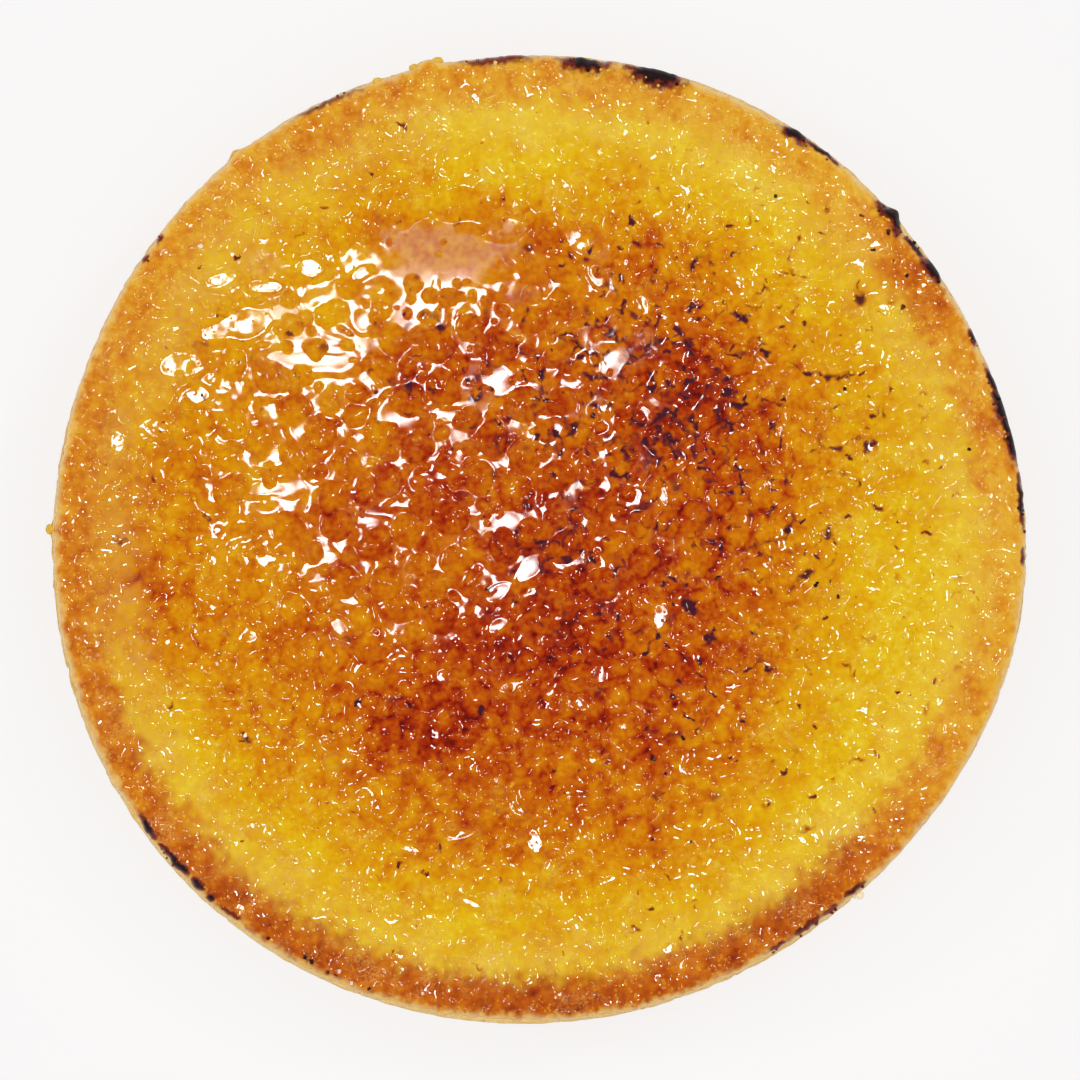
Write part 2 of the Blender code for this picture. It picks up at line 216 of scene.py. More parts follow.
# How browned the brim is: heading, half width in degrees, how burnt
BRIM_BROWNED = (
    (236, 26, 0.6), (205, 20, 0.36), (178, 22, 0.4), (270, 24, 0.6), (302, 22, 0.57), (320, 16, 0.3),
    (146, 22, 0.3), (118, 16, 0.26), (92, 22, 0.24), (60, 30, 0.18), (34, 9, 0.48), (14, 12, 0.33),
    (345, 14, 0.22),
)

# Charred marks along the edge: heading, half length, width, how far in, height, how black
CHARRED = (
    (94.5, 2.6, 0.45, 0.22, 0.14, 0.6), (84, 1.7, 0.8, 0.22, 0.2, 0.92),
    (75.4, 1.9, 1.05, 0.22, 0.25, 1), (57.3, 1.1, 0.55, 0.22, 0.18, 1),
    (53.9, 1.5, 0.22, 0.2, 0.1, 0.95), (42.2, 1.3, 0.7, 0.22, 0.3, 1),
    (37.6, 1.1, 0.24, 0.2, 0.12, 0.95), (34.3, 1.1, 0.55, 0.22, 0.22, 1),
    (24.8, 0.6, 0.26, 0.22, 0.1, 0.85), (18.8, 1.2, 0.3, 0.2, 0.12, 1), (15.6, 1.8, 0.52, 0.2, 0.18, 1),
    (12, 1.7, 0.46, 0.2, 0.16, 1), (4.7, 1.9, 0.26, 0.2, 0.1, 0.92), (-2, 0.7, 0.2, 0.22, 0.08, 0.7),
    (-47.7, 0.9, 0.22, 0.4, 0.05, 0.8), (-51.5, 0.8, 0.2, 0.45, 0.03, 0.64),
    (-54.9, 1.3, 0.26, 0.45, 0.03, 0.72), (-59.3, 0.8, 0.2, 0.4, 0.03, 0.62),
    (216.6, 1, 0.28, 0.46, 0.04, 0.88), (219.3, 0.4, 0.18, 0.42, 0.02, 0.76),
    (220.9, 0.8, 0.24, 0.5, 0.04, 0.82), (222.4, 1, 0.32, 0.54, 0.05, 0.94),
    (225.6, 0.6, 0.32, 0.54, 0.04, 0.95), (227.8, 0.3, 0.26, 0.5, 0.03, 0.88),
    (230.8, 1, 0.2, 0.6, 0, 0.55), (115.5, 2.6, 0.28, 0.25, 0.08, 0.5),
    (141.3, 0.4, 0.2, 0.3, 0.08, 0.6), (144.2, 0.4, 0.2, 0.3, 0.08, 0.6),
)
# Where pastry shows outside the caramel: heading, half width in degrees, how wide
BARE_EDGE = (
    (186, 22, 0.2), (225, 24, 0.24), (262, 18, 0.3), (62, 10, 0.25), (40, 5, 0.3), (300, 14, 0.16),
)
EDGE_INSET = 0.14

# Loose grains on and in the caramel
GRAINS = 3800
GRAIN_SEED = 11
GRAIN_SIZES = (0.18, 0.40)  # smallest and largest grain
GRAIN_TIP = 0.16  # how far a grain leans, in radians
CRUMBS = 70  # burnt crumbs beside the charred marks
CRUMB_SIZES = (0.16, 0.42)
CRYSTAL_SIZES = (0.36, 0.58)

# Pink and cream crystals that lie on top: x, y
PALE_CRYSTALS = (
    (-32.1, -12.4), (-33.7, 29.2), (-29.9, 27.6), (-22, 20.4), (-31.4, 18.7), (-19.9, -43),
    (-18.7, -44.2), (-11.6, -45.2),
)
# Lumps of custard baked onto the edge: heading, how far out, height over the base, length, width
EDGE_LUMPS = (
    (102.9, 48.3, 19.9, 1.3, 0.75), (101.6, 48.7, 19.7, 0.6, 0.45), (104.4, 48.6, 19.8, 0.5, 0.4),
    (127.9, 48.4, 19.9, 0.85, 0.6), (109, 48.4, 20.1, 0.45, 0.3), (178.8, 48.5, 19.8, 0.5, 0.35),
)
# A clear bead of sugar on the edge and its neck: heading, how far out, height, length, width
DROPLET = (
    (-47.6, 48.15, 19.15, 0.42, 0.42), (-48.1, 47.95, 19.2, 0.26, 0.24),
)

# Scorched grains that lie on the caramel: x, y, radius
SCORCHED_GRAINS = (
    (36.3, 23.2, 0.42), (32, 32.3, 0.3), (33.2, 28.8, 0.3), (35.4, 27.8, 0.26), (23.6, 34.2, 0.26),
    (42.8, 9, 0.24), (22, -1.5, 0.26), (17.8, -3.7, 0.28), (27.6, -4.5, 0.28), (29, -4.2, 0.22),
    (29.9, -5.7, 0.22), (11.4, -21.7, 0.46), (14.4, -19.8, 0.24), (15.1, -30.2, 0.2), (30.5, 15, 0.22),
    (26.5, 21.5, 0.24), (-21, -43.1, 0.2), (-20.2, -43.4, 0.26), (-23.2, -41.6, 0.14),
    (-22.7, -42, 0.14), (-16.9, -44.7, 0.16), (-26.9, -39.7, 0.12), (34.8, 30.6, 0.2),
    (36.6, 26.3, 0.2),
)

# Colours of the sugar over the filling and over the brim, as it turns from pale to burnt
FILLING_STOPS = (
    (0.00, (240, 206, 56)), (0.05, (236, 196, 34)), (0.12, (233, 187, 16)), (0.25, (228, 168, 5)),
    (0.38, (222, 148, 3)), (0.50, (212, 122, 2)), (0.62, (196, 92, 2)), (0.72, (178, 58, 2)),
    (0.82, (145, 27, 3)), (0.91, (92, 18, 12)), (1.00, (38, 8, 14)),
)
BRIM_STOPS = (
    (0.00, (234, 184, 60)), (0.20, (230, 166, 40)), (0.40, (218, 132, 26)), (0.60, (196, 94, 12)),
    (0.80, (160, 56, 8)), (1.00, (90, 28, 12)),
)
PASTRY_STOPS = (
    (0.00, (252, 214, 138)), (0.25, (244, 190, 108)), (0.50, (226, 158, 78)),
    (0.75, (196, 122, 52)), (1.00, (146, 78, 32)),
)
# Soot's stain, its light crust and its dark crust, on golden sugar and on dark
SOOT_COLOURS = (
    ((190, 88, 6), (122, 30, 24)), ((152, 74, 14), (112, 38, 38)), ((104, 48, 20), (70, 26, 40)),
)


# ---------------------------------------------------------------- outline and level


def bump(distance, half_width):
    """A smooth hump, 1 at its middle and near 0 at twice its half width."""
    return np.exp(-((distance / half_width) ** 2))


def polar(radius, heading):
    """A place from its distance and heading."""
    return radius * math.cos(heading), radius * math.sin(heading)


def turned(x, y, angle):
    """Places along and across axes that are turned by an angle."""
    return x * math.cos(angle) + y * math.sin(angle), y * math.cos(angle) - x * math.sin(angle)


def turn_between(heading, degrees):
    """Size of the turn between headings in radians and one in degrees."""
    turn = heading - math.radians(degrees)
    return np.abs(np.arctan2(np.sin(turn), np.cos(turn)))


def free_outline(heading):
    """Outer radius of the case before it is centred."""
    radius = np.full_like(heading, RADIUS)
    for count, height, crest in OUTLINE_WAVES:
        radius += height * np.cos(count * (heading - math.radians(crest)))
    for at, reach, width in DRIPS:
        radius += reach * bump(RADIUS * turn_between(heading, at), width)
    return radius


def outline_middle():
    """Middle of the box round the outline, which is the tart's own middle."""
    heading = TAU * np.arange(OUTLINE_SEGMENTS) / OUTLINE_SEGMENTS
    x = free_outline(heading) * np.cos(heading)
    y = free_outline(heading) * np.sin(heading)
    return (x.min() + x.max()) / 2, (y.min() + y.max()) / 2


MIDDLE = outline_middle()


def edge_points(heading, inset):
    """Points inset from the case's outer edge."""
    radius = free_outline(heading) - inset
    return radius * np.cos(heading) - MIDDLE[0], radius * np.sin(heading) - MIDDLE[1]


def inset_of(x, y):
    """How far points lie inside the case's outer edge."""
    heading = np.arctan2(y + MIDDLE[1], x + MIDDLE[0])
    return free_outline(heading) - np.hypot(x + MIDDLE[0], y + MIDDLE[1])


def fill_level(x, y):
    """Height of the filling and of the brim round it."""
    sink = SINK * (1 - (x * x + y * y) / RADIUS**2)
    swell = SWELL * np.sin(x / SWELL_LENGTHS[0] + 0.8) * np.cos(y / SWELL_LENGTHS[1] - 0.4)
    return HEIGHT - sink + swell


def smooth_step(low, high, value):
    part = np.clip((value - low) / (high - low), 0, 1)
    return part * part * (3 - 2 * part)


def smooth_max(a, b, blend):
    """The greater of two heights, with a fillet where they meet."""
    part = np.clip(1 - np.abs(a - b) / blend, 0, 1)
    return np.maximum(a, b) + blend * part * part / 4


def cloud(x, y, size, seed):
    """Smooth random waves between about -1 and 1, about size across."""
    cells = 64
    slopes = np.random.default_rng(seed).uniform(0, TAU, (cells, cells))
    u = x / size + 1000.5
    v = y / size + 1000.5
    i = np.floor(u).astype(int)
    j = np.floor(v).astype(int)
    s = u - i
    t = v - j
    corners = []
    for di, dj in ((0, 0), (1, 0), (0, 1), (1, 1)):
        slope = slopes[(i + di) % cells, (j + dj) % cells]
        corners.append(np.cos(slope) * (s - di) + np.sin(slope) * (t - dj))
    fade_s = s**3 * (s * (6 * s - 15) + 10)
    fade_t = t**3 * (t * (6 * t - 15) + 10)
    low = corners[0] + fade_s * (corners[1] - corners[0])
    high = corners[2] + fade_s * (corners[3] - corners[2])
    return 1.6 * (low + fade_t * (high - low))


def layered_cloud(x, y, size, seed, layers=3):
    """Random waves with finer and weaker ones added."""
    total = np.zeros_like(x)
    for layer in range(layers):
        part = 0.5**layer
        across, along = turned(x, y, -0.7 * layer - 0.4)
        total += part * cloud(across, along, size * part, seed + layer)
    return total


# ---------------------------------------------------------------- the round lattice


class Lattice:
    """Points on rings round a middle, six more on each, and the triangles between them."""

    def __init__(self, rings):
        parts = [np.zeros(1)]
        headings = [np.zeros(1)]
        for ring in range(1, rings + 1):
            parts.append(np.full(6 * ring, ring / rings))
            headings.append(TAU * np.arange(6 * ring) / (6 * ring))
        self.rings = rings
        self.part = np.concatenate(parts)
        self.heading = np.concatenate(headings)

    @staticmethod
    def number(ring, step):
        """A point's number from its ring and its step round it."""
        if ring == 0:
            return np.zeros_like(step)
        return 1 + 3 * ring * (ring - 1) + step % (6 * ring)

    def ring_numbers(self, ring):
        return self.number(ring, np.arange(6 * ring))

    def triangles(self, first, last):
        """Triangles from one ring to another."""
        found = []
        for ring in range(first + 1, last + 1):
            sector = np.repeat(np.arange(6), ring)
            step = np.tile(np.arange(ring), 6)
            outer = sector * ring + step
            inner = sector * (ring - 1) + step
            here = self.number(ring, outer)
            after = self.number(ring, outer + 1)
            found.append(np.stack([here, after, self.number(ring - 1, inner)], 1))
            gap = step < ring - 1
            if ring > 1:
                near = self.number(ring - 1, inner[gap])
                far = self.number(ring - 1, inner[gap] + 1)
                found.append(np.stack([after[gap], far, near], 1))
        return np.concatenate(found)


class Neighbours:
    """Finds the points near a place."""

    def __init__(self, x, y, cell=1.0):
        self.x = x
        self.y = y
        self.cell = cell
        self.low = (x.min(), y.min())
        self.columns = int((x.max() - x.min()) / cell) + 2
        rows = int((y.max() - y.min()) / cell) + 2
        key = self.row(y) * self.columns + self.column(x)
        self.order = np.argsort(key, kind="stable")
        self.starts = np.searchsorted(key[self.order], np.arange(rows * self.columns + 1))
        self.rows = rows

    def column(self, x):
        return np.floor((x - self.low[0]) / self.cell).astype(int)

    def row(self, y):
        return np.floor((y - self.low[1]) / self.cell).astype(int)

    def near(self, x, y, reach):
        """Numbers of the points in the square of that reach round a place."""
        first = max(0, int((x - reach - self.low[0]) / self.cell))
        last = min(self.columns - 1, int((x + reach - self.low[0]) / self.cell))
        top = min(self.rows - 1, int((y + reach - self.low[1]) / self.cell))
        found = []
        for row in range(max(0, int((y - reach - self.low[1]) / self.cell)), top + 1):
            start = self.starts[row * self.columns + first]
            end = self.starts[row * self.columns + last + 1]
            found.append(self.order[start:end])
        return np.concatenate(found) if found else np.zeros(0, int)


class Humps:
    """Many humps melted into one surface: its height, and at every point the two humps that
    stand highest."""

    MELT = 0.024  # how far two equal humps rise where they melt together, over ln 2

    def __init__(self, neighbours, start):
        self.near = neighbours
        self.best = np.full_like(neighbours.x, start)
        self.second = np.full_like(neighbours.x, start)
        self.tint = np.zeros_like(neighbours.x)
        self.total = np.exp(self.best / self.MELT)

    def add(self, x, y, radius, rise, tint, stretch=1.0, turn=0.0, lean=(0.0, 0.0), fall=None):
        """One hump: its radius, and its rise, which it falls by at that radius unless fall says
        otherwise. It is longer by stretch along its turn, and its top leans."""
        at = self.near.near(x, y, 1.7 * radius * max(1.0, stretch))
        dx = self.near.x[at] - x
        dy = self.near.y[at] - y
        along, across = turned(dx, dy, turn)
        part = ((along / stretch) ** 2 + across * across) / radius**2
        close = part < 2.9
        at = at[close]
        fall = rise if fall is None else fall
        height = rise - fall * part[close] + lean[0] * dx[close] + lean[1] * dy[close]
        self.total[at] += np.exp(height / self.MELT) * smooth_step(2.9, 2.2, part[close])
        higher = height > self.best[at]
        top = at[higher]
        self.second[top] = self.best[top]
        self.best[top] = height[higher]
        self.tint[top] = tint
        lower = at[~higher]
        self.second[lower] = np.maximum(self.second[lower], height[~higher])

    def melted(self):
        return self.MELT * np.log(self.total)


# ---------------------------------------------------------------- the caramel's shape


def crowding(x, y):
    """1 where bubbles crowd together, falling away from there."""
    across = (x - CROWD_MIDDLE[0]) / CROWD_REACH[0]
    along = (y - CROWD_MIDDLE[1]) / CROWD_REACH[1]
    return np.exp(-((across * across + along * along) ** 1.5))


def bubble_layout():
    """The bubbles as (x, y, radius), thrown at random from the largest down, few overlapping."""
    draw = random.Random(BUBBLE_SEED)
    placed = np.zeros((BUBBLE_TRIES, 3))
    count = 0
    for step in range(BUBBLE_TRIES):
        radius = BUBBLE_LARGEST * BUBBLE_SHRINK ** (step / BUBBLE_TRIES)
        heading = draw.uniform(0, TAU)
        x, y = polar((RADIUS - WALL) * math.sqrt(draw.random()), heading)
        chance = draw.random()
        wanted = CROWD_LEAST + (1 - CROWD_LEAST) * crowding(x, y)
        if chance > wanted * wanted:
            continue
        others = placed[:count]
        apart = np.hypot(others[:, 0] - x, others[:, 1] - y)
        if (apart > BUBBLE_SPACING * (radius + others[:, 2])).all():
            placed[count] = (x, y, radius)
            count += 1
    return placed[:count]


def pebble_layout(pitch, seed):
    """Half-melted grains on a jittered grid over the whole top: (x, y, radius, random part)."""
    draw = np.random.default_rng(seed)
    rows = int(RADIUS / (pitch * math.sqrt(0.75))) + 1
    row, column = np.mgrid[-rows : rows + 1, -rows : rows + 1]
    x = pitch * (column + 0.5 * (row % 2)) + draw.uniform(-0.42, 0.42, row.shape) * pitch
    y = pitch * math.sqrt(0.75) * row + draw.uniform(-0.42, 0.42, row.shape) * pitch
    radius = pitch * draw.uniform(0.50, 0.95, row.shape)
    spare = draw.random(row.shape)
    inside = np.hypot(x, y) < RADIUS
    return np.stack([x[inside], y[inside], radius[inside], spare[inside]], 1)


def in_ellipse(x, y, middle_x, middle_y, reach_x, reach_y, turn=0.0):
    """Distance from an ellipse's middle, as a part of its reach."""
    along, across = turned(x - middle_x, y - middle_y, math.radians(turn))
    return np.hypot(along / reach_x, across / reach_y)


def spot(x, y, *ellipse):
    """1 in the middle of an ellipse, falling away smoothly round it."""
    return bump(in_ellipse(x, y, *ellipse), 1.0)


def caramel_inset(heading):
    """How far the caramel stops from the case's edge."""
    inset = np.full_like(heading, EDGE_INSET)
    for at, half_width, wide in BARE_EDGE:
        inset += wide * bump(turn_between(heading, at), math.radians(half_width))
    inset += waves(heading * 40, heading * 0, EDGE_WAVES, 5)
    for at, half_length, *_, black in CHARRED:
        mark = bump(RADIUS * turn_between(heading, at), half_length)
        inset *= 1 - 0.9 * smooth_step(0.92, 1.0, black) * mark
    return np.maximum(inset, 0.02)


def waves(x, y, sizes, seed):
    """Smooth waves of the given sizes and heights."""
    return sum(high * cloud(x, y, size, seed + i) for i, (size, high) in enumerate(sizes))


def facing(x, y):
    """How far the sugar's face leans towards +x and +y where it mirrors the main softbox."""
    lean = []
    for axis, place in enumerate((x, y)):
        eye = CAMERA_AIM[axis] - MIDDLE[axis]
        lean.append(((eye - place) / CAMERA_RISE + (MAIN_LIGHT[axis] - place) / MAIN_LIGHT[2]) / 2)
    return lean


def molten_sugar(x, y):
    """How high molten sugar stands between the bubbles: long waves where it stayed wet, calm
    in its pools, and short waves where it set soon."""
    wet = 1 - smooth_step(0.50, 1.10, in_ellipse(x, y, *WET_MIDDLE, *WET_REACH))
    ragged = 0.30 * cloud(x, y, 2.2, 33)
    calm = np.zeros_like(x)
    tilt = np.zeros_like(x)
    weight = np.full_like(x, 1e-6)
    for px, py, reach_x, reach_y, turn, _, forward in POOLS:
        away = in_ellipse(x, y, px, py, reach_x, reach_y, turn) + ragged
        inside = 1 - smooth_step(0.75, 1.45, away)
        calm = np.maximum(calm, inside)
        lean_x, lean_y = facing(px, py - forward)
        dx, dy = x - px, y - py + forward
        along, across = turned(dx, dy, math.radians(turn))
        bowl = along * along / reach_x + across * across / min(reach_y, POOL_NARROW)
        own = POOL_RISE * (np.sqrt(1 + bowl * POOL_BEND / POOL_RISE) - 1) - lean_x * dx - lean_y * dy
        own -= fill_level(x, y) - fill_level(px, py - forward)
        tilt += inside**3 * own
        weight += inside**3
    tilt *= calm / weight
    still = spot(x, y, *STILL_MIDDLE, *STILL_REACH)
    stir = np.clip(0.9 - 0.55 * still + 0.5 * cloud(x, y, 4.0, 44), 0.2, 1.3)
    lively = np.clip(1.25 + 1.5 * cloud(x, y, 3.6, 45), 0.5, 1.9)
    swell = wet * stir * waves(x, y, WET_WAVES, 35) + (1 - wet) * lively * waves(x, y, DRY_WAVES, 38)
    return POOL_LOW + POOL_WET * np.maximum(wet, calm) + tilt + swell * (1 - 0.85 * calm)


def slick_layout():
    """Small smooth spots: (x, y, half length, half width, turn in degrees, how bent)."""
    draw = random.Random(BUBBLE_SEED + 3)
    found = []
    while len(found) < SLICKS:
        heading = draw.uniform(0, TAU)
        x, y = polar((RADIUS - 1.0) * math.sqrt(draw.random()), heading)
        half = draw.uniform(0.35, 1.0) * draw.uniform(0.6, 1.0)
        narrow = draw.uniform(0.14, 0.36)
        found.append((x, y, half, narrow, draw.uniform(0, 180), draw.uniform(-0.9, 0.9)))
    return found


def lay_slicks(near, x, y, level):
    """Flattens the sugar in its small smooth spots."""
    for sx, sy, half, narrow, turn, bent in slick_layout():
        at = near.near(sx, sy, 2.0 * half)
        dx, dy = x[at] - sx, y[at] - sy
        along, across = turned(dx, dy, math.radians(turn))
        along /= half
        away = np.hypot(along, across / narrow - bent * along * along * half / narrow)
        away += 0.35 * cloud(x[at], y[at], 0.5, 46)
        inside = 1 - smooth_step(0.80, 1.90, away)
        lean_x, lean_y = facing(sx, sy)
        middle = level[at][np.argmin(dx * dx + dy * dy)]
        flat = middle - lean_x * dx - lean_y * dy - fill_level(x[at], y[at]) + fill_level(sx, sy)
        level[at] += inside * (flat - level[at])


def sinking(x, y):
    """How far bubbles sink at places in and round the pools."""
    depth = np.zeros_like(x)
    for px, py, reach_x, reach_y, turn, sunk, *_ in POOLS:
        away = in_ellipse(x, y, px, py, reach_x, reach_y, turn)
        depth = np.maximum(depth, sunk * (1 - smooth_step(0.70, 1.40, away)))
    return depth


def floating_bubbles():
    """Small bubbles that lie on the molten sugar: (x, y, radius)."""
    draw = random.Random(BUBBLE_SEED + 2)
    found = []
    while len(found) < FLOATING:
        x = draw.uniform(-RADIUS, RADIUS)
        y = draw.uniform(-RADIUS, RADIUS)
        radius = draw.uniform(0.22, 0.62) * draw.uniform(0.7, 1.0)
        if draw.random() < crowding(x, y) ** 1.5 and math.hypot(x, y) < RADIUS - WALL:
            found.append((x, y, radius))
    for px, py, reach_x, reach_y, turn, *_ in POOLS:
        for _ in range(int(reach_x + reach_y)):
            round_it = draw.uniform(0, TAU)
            along, across = polar(draw.uniform(0.85, 1.30), round_it)
            dx, dy = turned(along * reach_x, across * reach_y, -math.radians(turn))
            found.append((px + dx, py + dy, draw.uniform(0.35, 1.15) * draw.uniform(0.7, 1.0)))
    return found


def solid_sugar(near, crowd):
    """Bubbles, half-melted lumps between them, and small knobs over all: the humps, and how high
    the whole stands."""
    humps = Humps(near, HUMP_FLOOR)
    draw = random.Random(BUBBLE_SEED + 1)
    bubbles = bubble_layout()
    depths = sinking(bubbles[:, 0], bubbles[:, 1])
    for (x, y, radius), depth in zip(bubbles, depths):
        steep = DOME_RISE[0] + (DOME_RISE[1] - DOME_RISE[0]) * float(crowding(x, y))
        rise = steep * draw.uniform(0.6, 0.95) * radius
        turn = draw.uniform(0, TAU)
        lean = polar(0.12 * draw.random(), 5 * turn)
        top = rise - depth * draw.uniform(0.35, 1.0)
        tint = draw.uniform(-1, 1)
        humps.add(x, y, radius, top, tint, draw.uniform(1.0, 1.25), turn, lean, rise)
    lumps = pebble_layout(LUMP_PITCH, 41)
    crowded = crowding(lumps[:, 0], lumps[:, 1])
    depths = sinking(lumps[:, 0], lumps[:, 1]) + 0.30 * (1 - crowded)
    for (x, y, radius, spare), depth in zip(lumps, depths):
        rise = 0.26 * radius
        lean = polar(0.09 * draw.random(), 3 * TAU * spare)
        top = rise - 0.16 * draw.random() - depth
        tint = draw.uniform(-1, 1)
        stretch = draw.uniform(1.0, 1.35)
        humps.add(x, y, 0.74 * radius, top, tint, stretch, TAU * spare, lean, rise)
    knobs = Humps(near, 0.0)
    for x, y, radius, spare in pebble_layout(KNOB_PITCH, 43):
        knobs.add(x, y, 0.85 * radius, 0.16 * spare + 0.01, spare)
    return humps, humps.melted() + knobs.melted() * (0.15 + 0.85 * crowd)


def charred_edge(heading, from_edge, ragged):
    """How charred the sugar is round the charred marks, and how high they bead up."""
    char = np.zeros_like(heading)
    bead = np.zeros_like(heading)
    for at, half_length, width, inner, height, black in CHARRED:
        along = RADIUS * turn_between(heading, at) / half_length
        away = np.hypot(along, (from_edge - inner) / width) + ragged
        char = np.maximum(char, black * (1 - smooth_step(0.35, 2.40, away)))
        bead = np.maximum(bead, height * (1 - smooth_step(0.75, 1.20, away)))
    return char, bead


def caramel_surface():
    """The caramel's upper face: its lattice, and at every point its place and its colours."""
    lattice = Lattice(CARAMEL_RINGS)
    edge_x, edge_y = edge_points(lattice.heading, caramel_inset(lattice.heading))
    x = lattice.part * edge_x
    y = lattice.part * edge_y
    from_edge = (1 - lattice.part) * np.hypot(edge_x, edge_y)
    near = Neighbours(x + waves(x, y, BEND_WAVES, 11), y + waves(x, y, BEND_WAVES, 13))
    crowd = crowding(x, y)
    inside_edge = inset_of(x, y) + waves(x, y, SEAM_WAVES, 21)
    brim = smooth_step(WALL + 2.3, WALL - 1.0, inside_edge)
    haze = bump(inside_edge - WALL - 2.2, 2.4) * (0.7 + 0.5 * cloud(x, y, 5.0, 23))

    # Molten sugar fills the hollows, and small bubbles lie on it
    humps, solid = solid_sugar(near, crowd)
    pool = molten_sugar(x, y)
    lay_slicks(near, x, y, pool)
    filled = smooth_step(-0.05, 0.08, pool - solid)
    floats = Humps(near, HUMP_FLOOR)
    for fx, fy, radius in floating_bubbles():
        level = molten_sugar(np.array([fx]), np.array([fy]))[0]
        floats.add(fx, fy, radius, level + 0.42 * radius, 0.3, fall=0.42 * radius + 0.1)
    relief = smooth_max(solid, pool, 0.06 + 0.07 * crowd)
    relief = smooth_max(relief, floats.best, 0.06)
    relief += 0.02 * brim * layered_cloud(x, y, 1.4, 81, layers=2)

    # The edge thins, and chars where the flame caught it
    char, bead = charred_edge(lattice.heading, from_edge, 0.42 * layered_cloud(x, y, 0.7, 91))
    thin = np.clip(from_edge / LIP_WIDTH, 0, 1)
    sheet = CARAMEL_EDGE + (CARAMEL - CARAMEL_EDGE) * np.sqrt(thin * (2 - thin)) - RELIEF_SUNK
    apart = humps.best - humps.second
    return {
        "lattice": lattice,
        "x": x,
        "y": y,
        "z": fill_level(x, y) + GAP * thin + sheet + relief * np.sqrt(thin) + bead,
        "from_edge": from_edge,
        "height": relief,
        "filled": filled,
        # creases between humps, where the colour is darkened partly as painted shade
        "crease": bump(apart, 0.14) * (1 - filled),
        "seam": np.maximum(bump(apart, 0.05) * (1 - filled), bump(pool - solid, 0.06)),
        "brim": brim,
        "haze": np.clip(haze, 0, 1),
        "thin": 1 - smooth_step(0.0, 1.0, from_edge + waves(x, y, LIP_WAVES, 24)),
        "dry": 1 - smooth_step(0.10, 0.55, crowd),
        "char": char,
        "tint": humps.tint,
    }


def burn_map(x, y):
    """How burnt the sugar is, from 0 to 1: each pass of the torch takes it further."""
    left = np.full_like(x, 1 - UNBURNT)
    for middle_x, middle_y, reach_x, reach_y, burnt in TORCHED:
        away = in_ellipse(x, y, middle_x, middle_y, reach_x, reach_y)
        sharp = 5.0 if reach_x > 12 else 2.4
        left *= 1 - burnt * np.exp(-(away**sharp))
    return 1 - left


def soot_map(x, y, ends):
    """How sooty the sugar is. ends are where soot reaches its full strength."""
    often = sum(much * spot(x, y, *place) for much, *place in SOOT_OFTEN) + 0.15
    heavy = sum(much * spot(x, y, *place) for much, *place in SOOT_HEAVY)
    jag_x = x + waves(x, y, SOOT_WAVES, 161)
    jag_y = y + waves(x, y, SOOT_WAVES, 163)
    thick = smooth_step(-0.15, 0.55, cloud(jag_x, jag_y, 1.1, 165) + 0.34 * heavy)
    soot = np.zeros_like(x)
    for seed in (121, 124, 127):
        wander = np.abs(layered_cloud(jag_x, jag_y, 4.8, seed, layers=2))
        present = smooth_step(0.08, 0.58, cloud(x, y, 3.2, seed + 50) + 0.74 * (often - 0.76))
        line = 1 - smooth_step(0.0, 0.08 + 0.17 * thick, wander)
        soot = np.maximum(soot, line * present * (0.51 + 0.47 * thick))
    clots = layered_cloud(jag_x, jag_y, 1.3, 133) + 0.28 * (often + heavy - 1.1)
    return np.maximum(soot, smooth_step(0.52, 1.00, clots)) * (0.80 + 0.20 * ends)


def dull_map(x, y, filled):
    """How dull the skin is on the pools that set slowly."""
    dull = np.clip(0.04 + 0.50 * cloud(x, y, 3.4, 171), 0.05, 0.45) * filled
    for *ellipse, much in DULLED:
        away = in_ellipse(x, y, *ellipse) + 0.3 * cloud(x, y, 1.8, 172)
        dull = np.maximum(dull, much * (1 - smooth_step(0.55, 1.15, away)))
    return dull


def colour_caramel(top):
    """Adds at every point how far the sugar has turned, with painted shade in its hollows, and how
    sooty and dull it is.
    """
    x, y, dry = top["x"], top["y"], top["dry"]
    burnt = burn_map(x, y)
    torched = smooth_step(0.12, 0.50, burnt)
    mottle = 0.08 * layered_cloud(x, y, 3.2, 101) + 0.07 * layered_cloud(x, y, 1.2, 111)
    mottle += 0.05 * dry * layered_cloud(x, y, 1.7, 116)
    # Lower places and the creases between humps count as further turned: partly the deeper sugar there,
    # partly painted shade; each hump also gets a random tint
    low = 0.26 * np.clip(0.16 - top["height"], -0.12, 0.30)
    hollow_depth_and_shade = low + 0.11 * top["crease"] + 0.04 * top["seam"] + 0.05 * top["tint"]
    done_and_shade = burnt + mottle * (0.85 + 0.15 * torched) + hollow_depth_and_shade * torched
    top["done_and_shade"] = np.clip(done_and_shade, 0, 1)

    whole = np.ones_like(x)
    for at, half_width, much in BRIM_BROWNED:
        near = bump(turn_between(top["lattice"].heading, at), math.radians(half_width))
        whole *= 1 - much * near
    uneven = 0.12 * layered_cloud(x, y, 2.8, 141) + 0.11 * layered_cloud(x, y, 1.1, 151)
    top["browned"] = np.clip(1 - whole + uneven, 0, 1)

    soot = soot_map(x, y, np.maximum(top["seam"], dry))
    top["soot"] = np.clip(soot, 0, 1) * (1 - 0.7 * top["brim"])
    top["dull"] = dull_map(x, y, top["filled"] * (1 - dry))


# ---------------------------------------------------------------- meshes


def add_object(name, data):
    made = bpy.data.objects.new(name, data)
    bpy.context.scene.collection.objects.link(made)
    return made


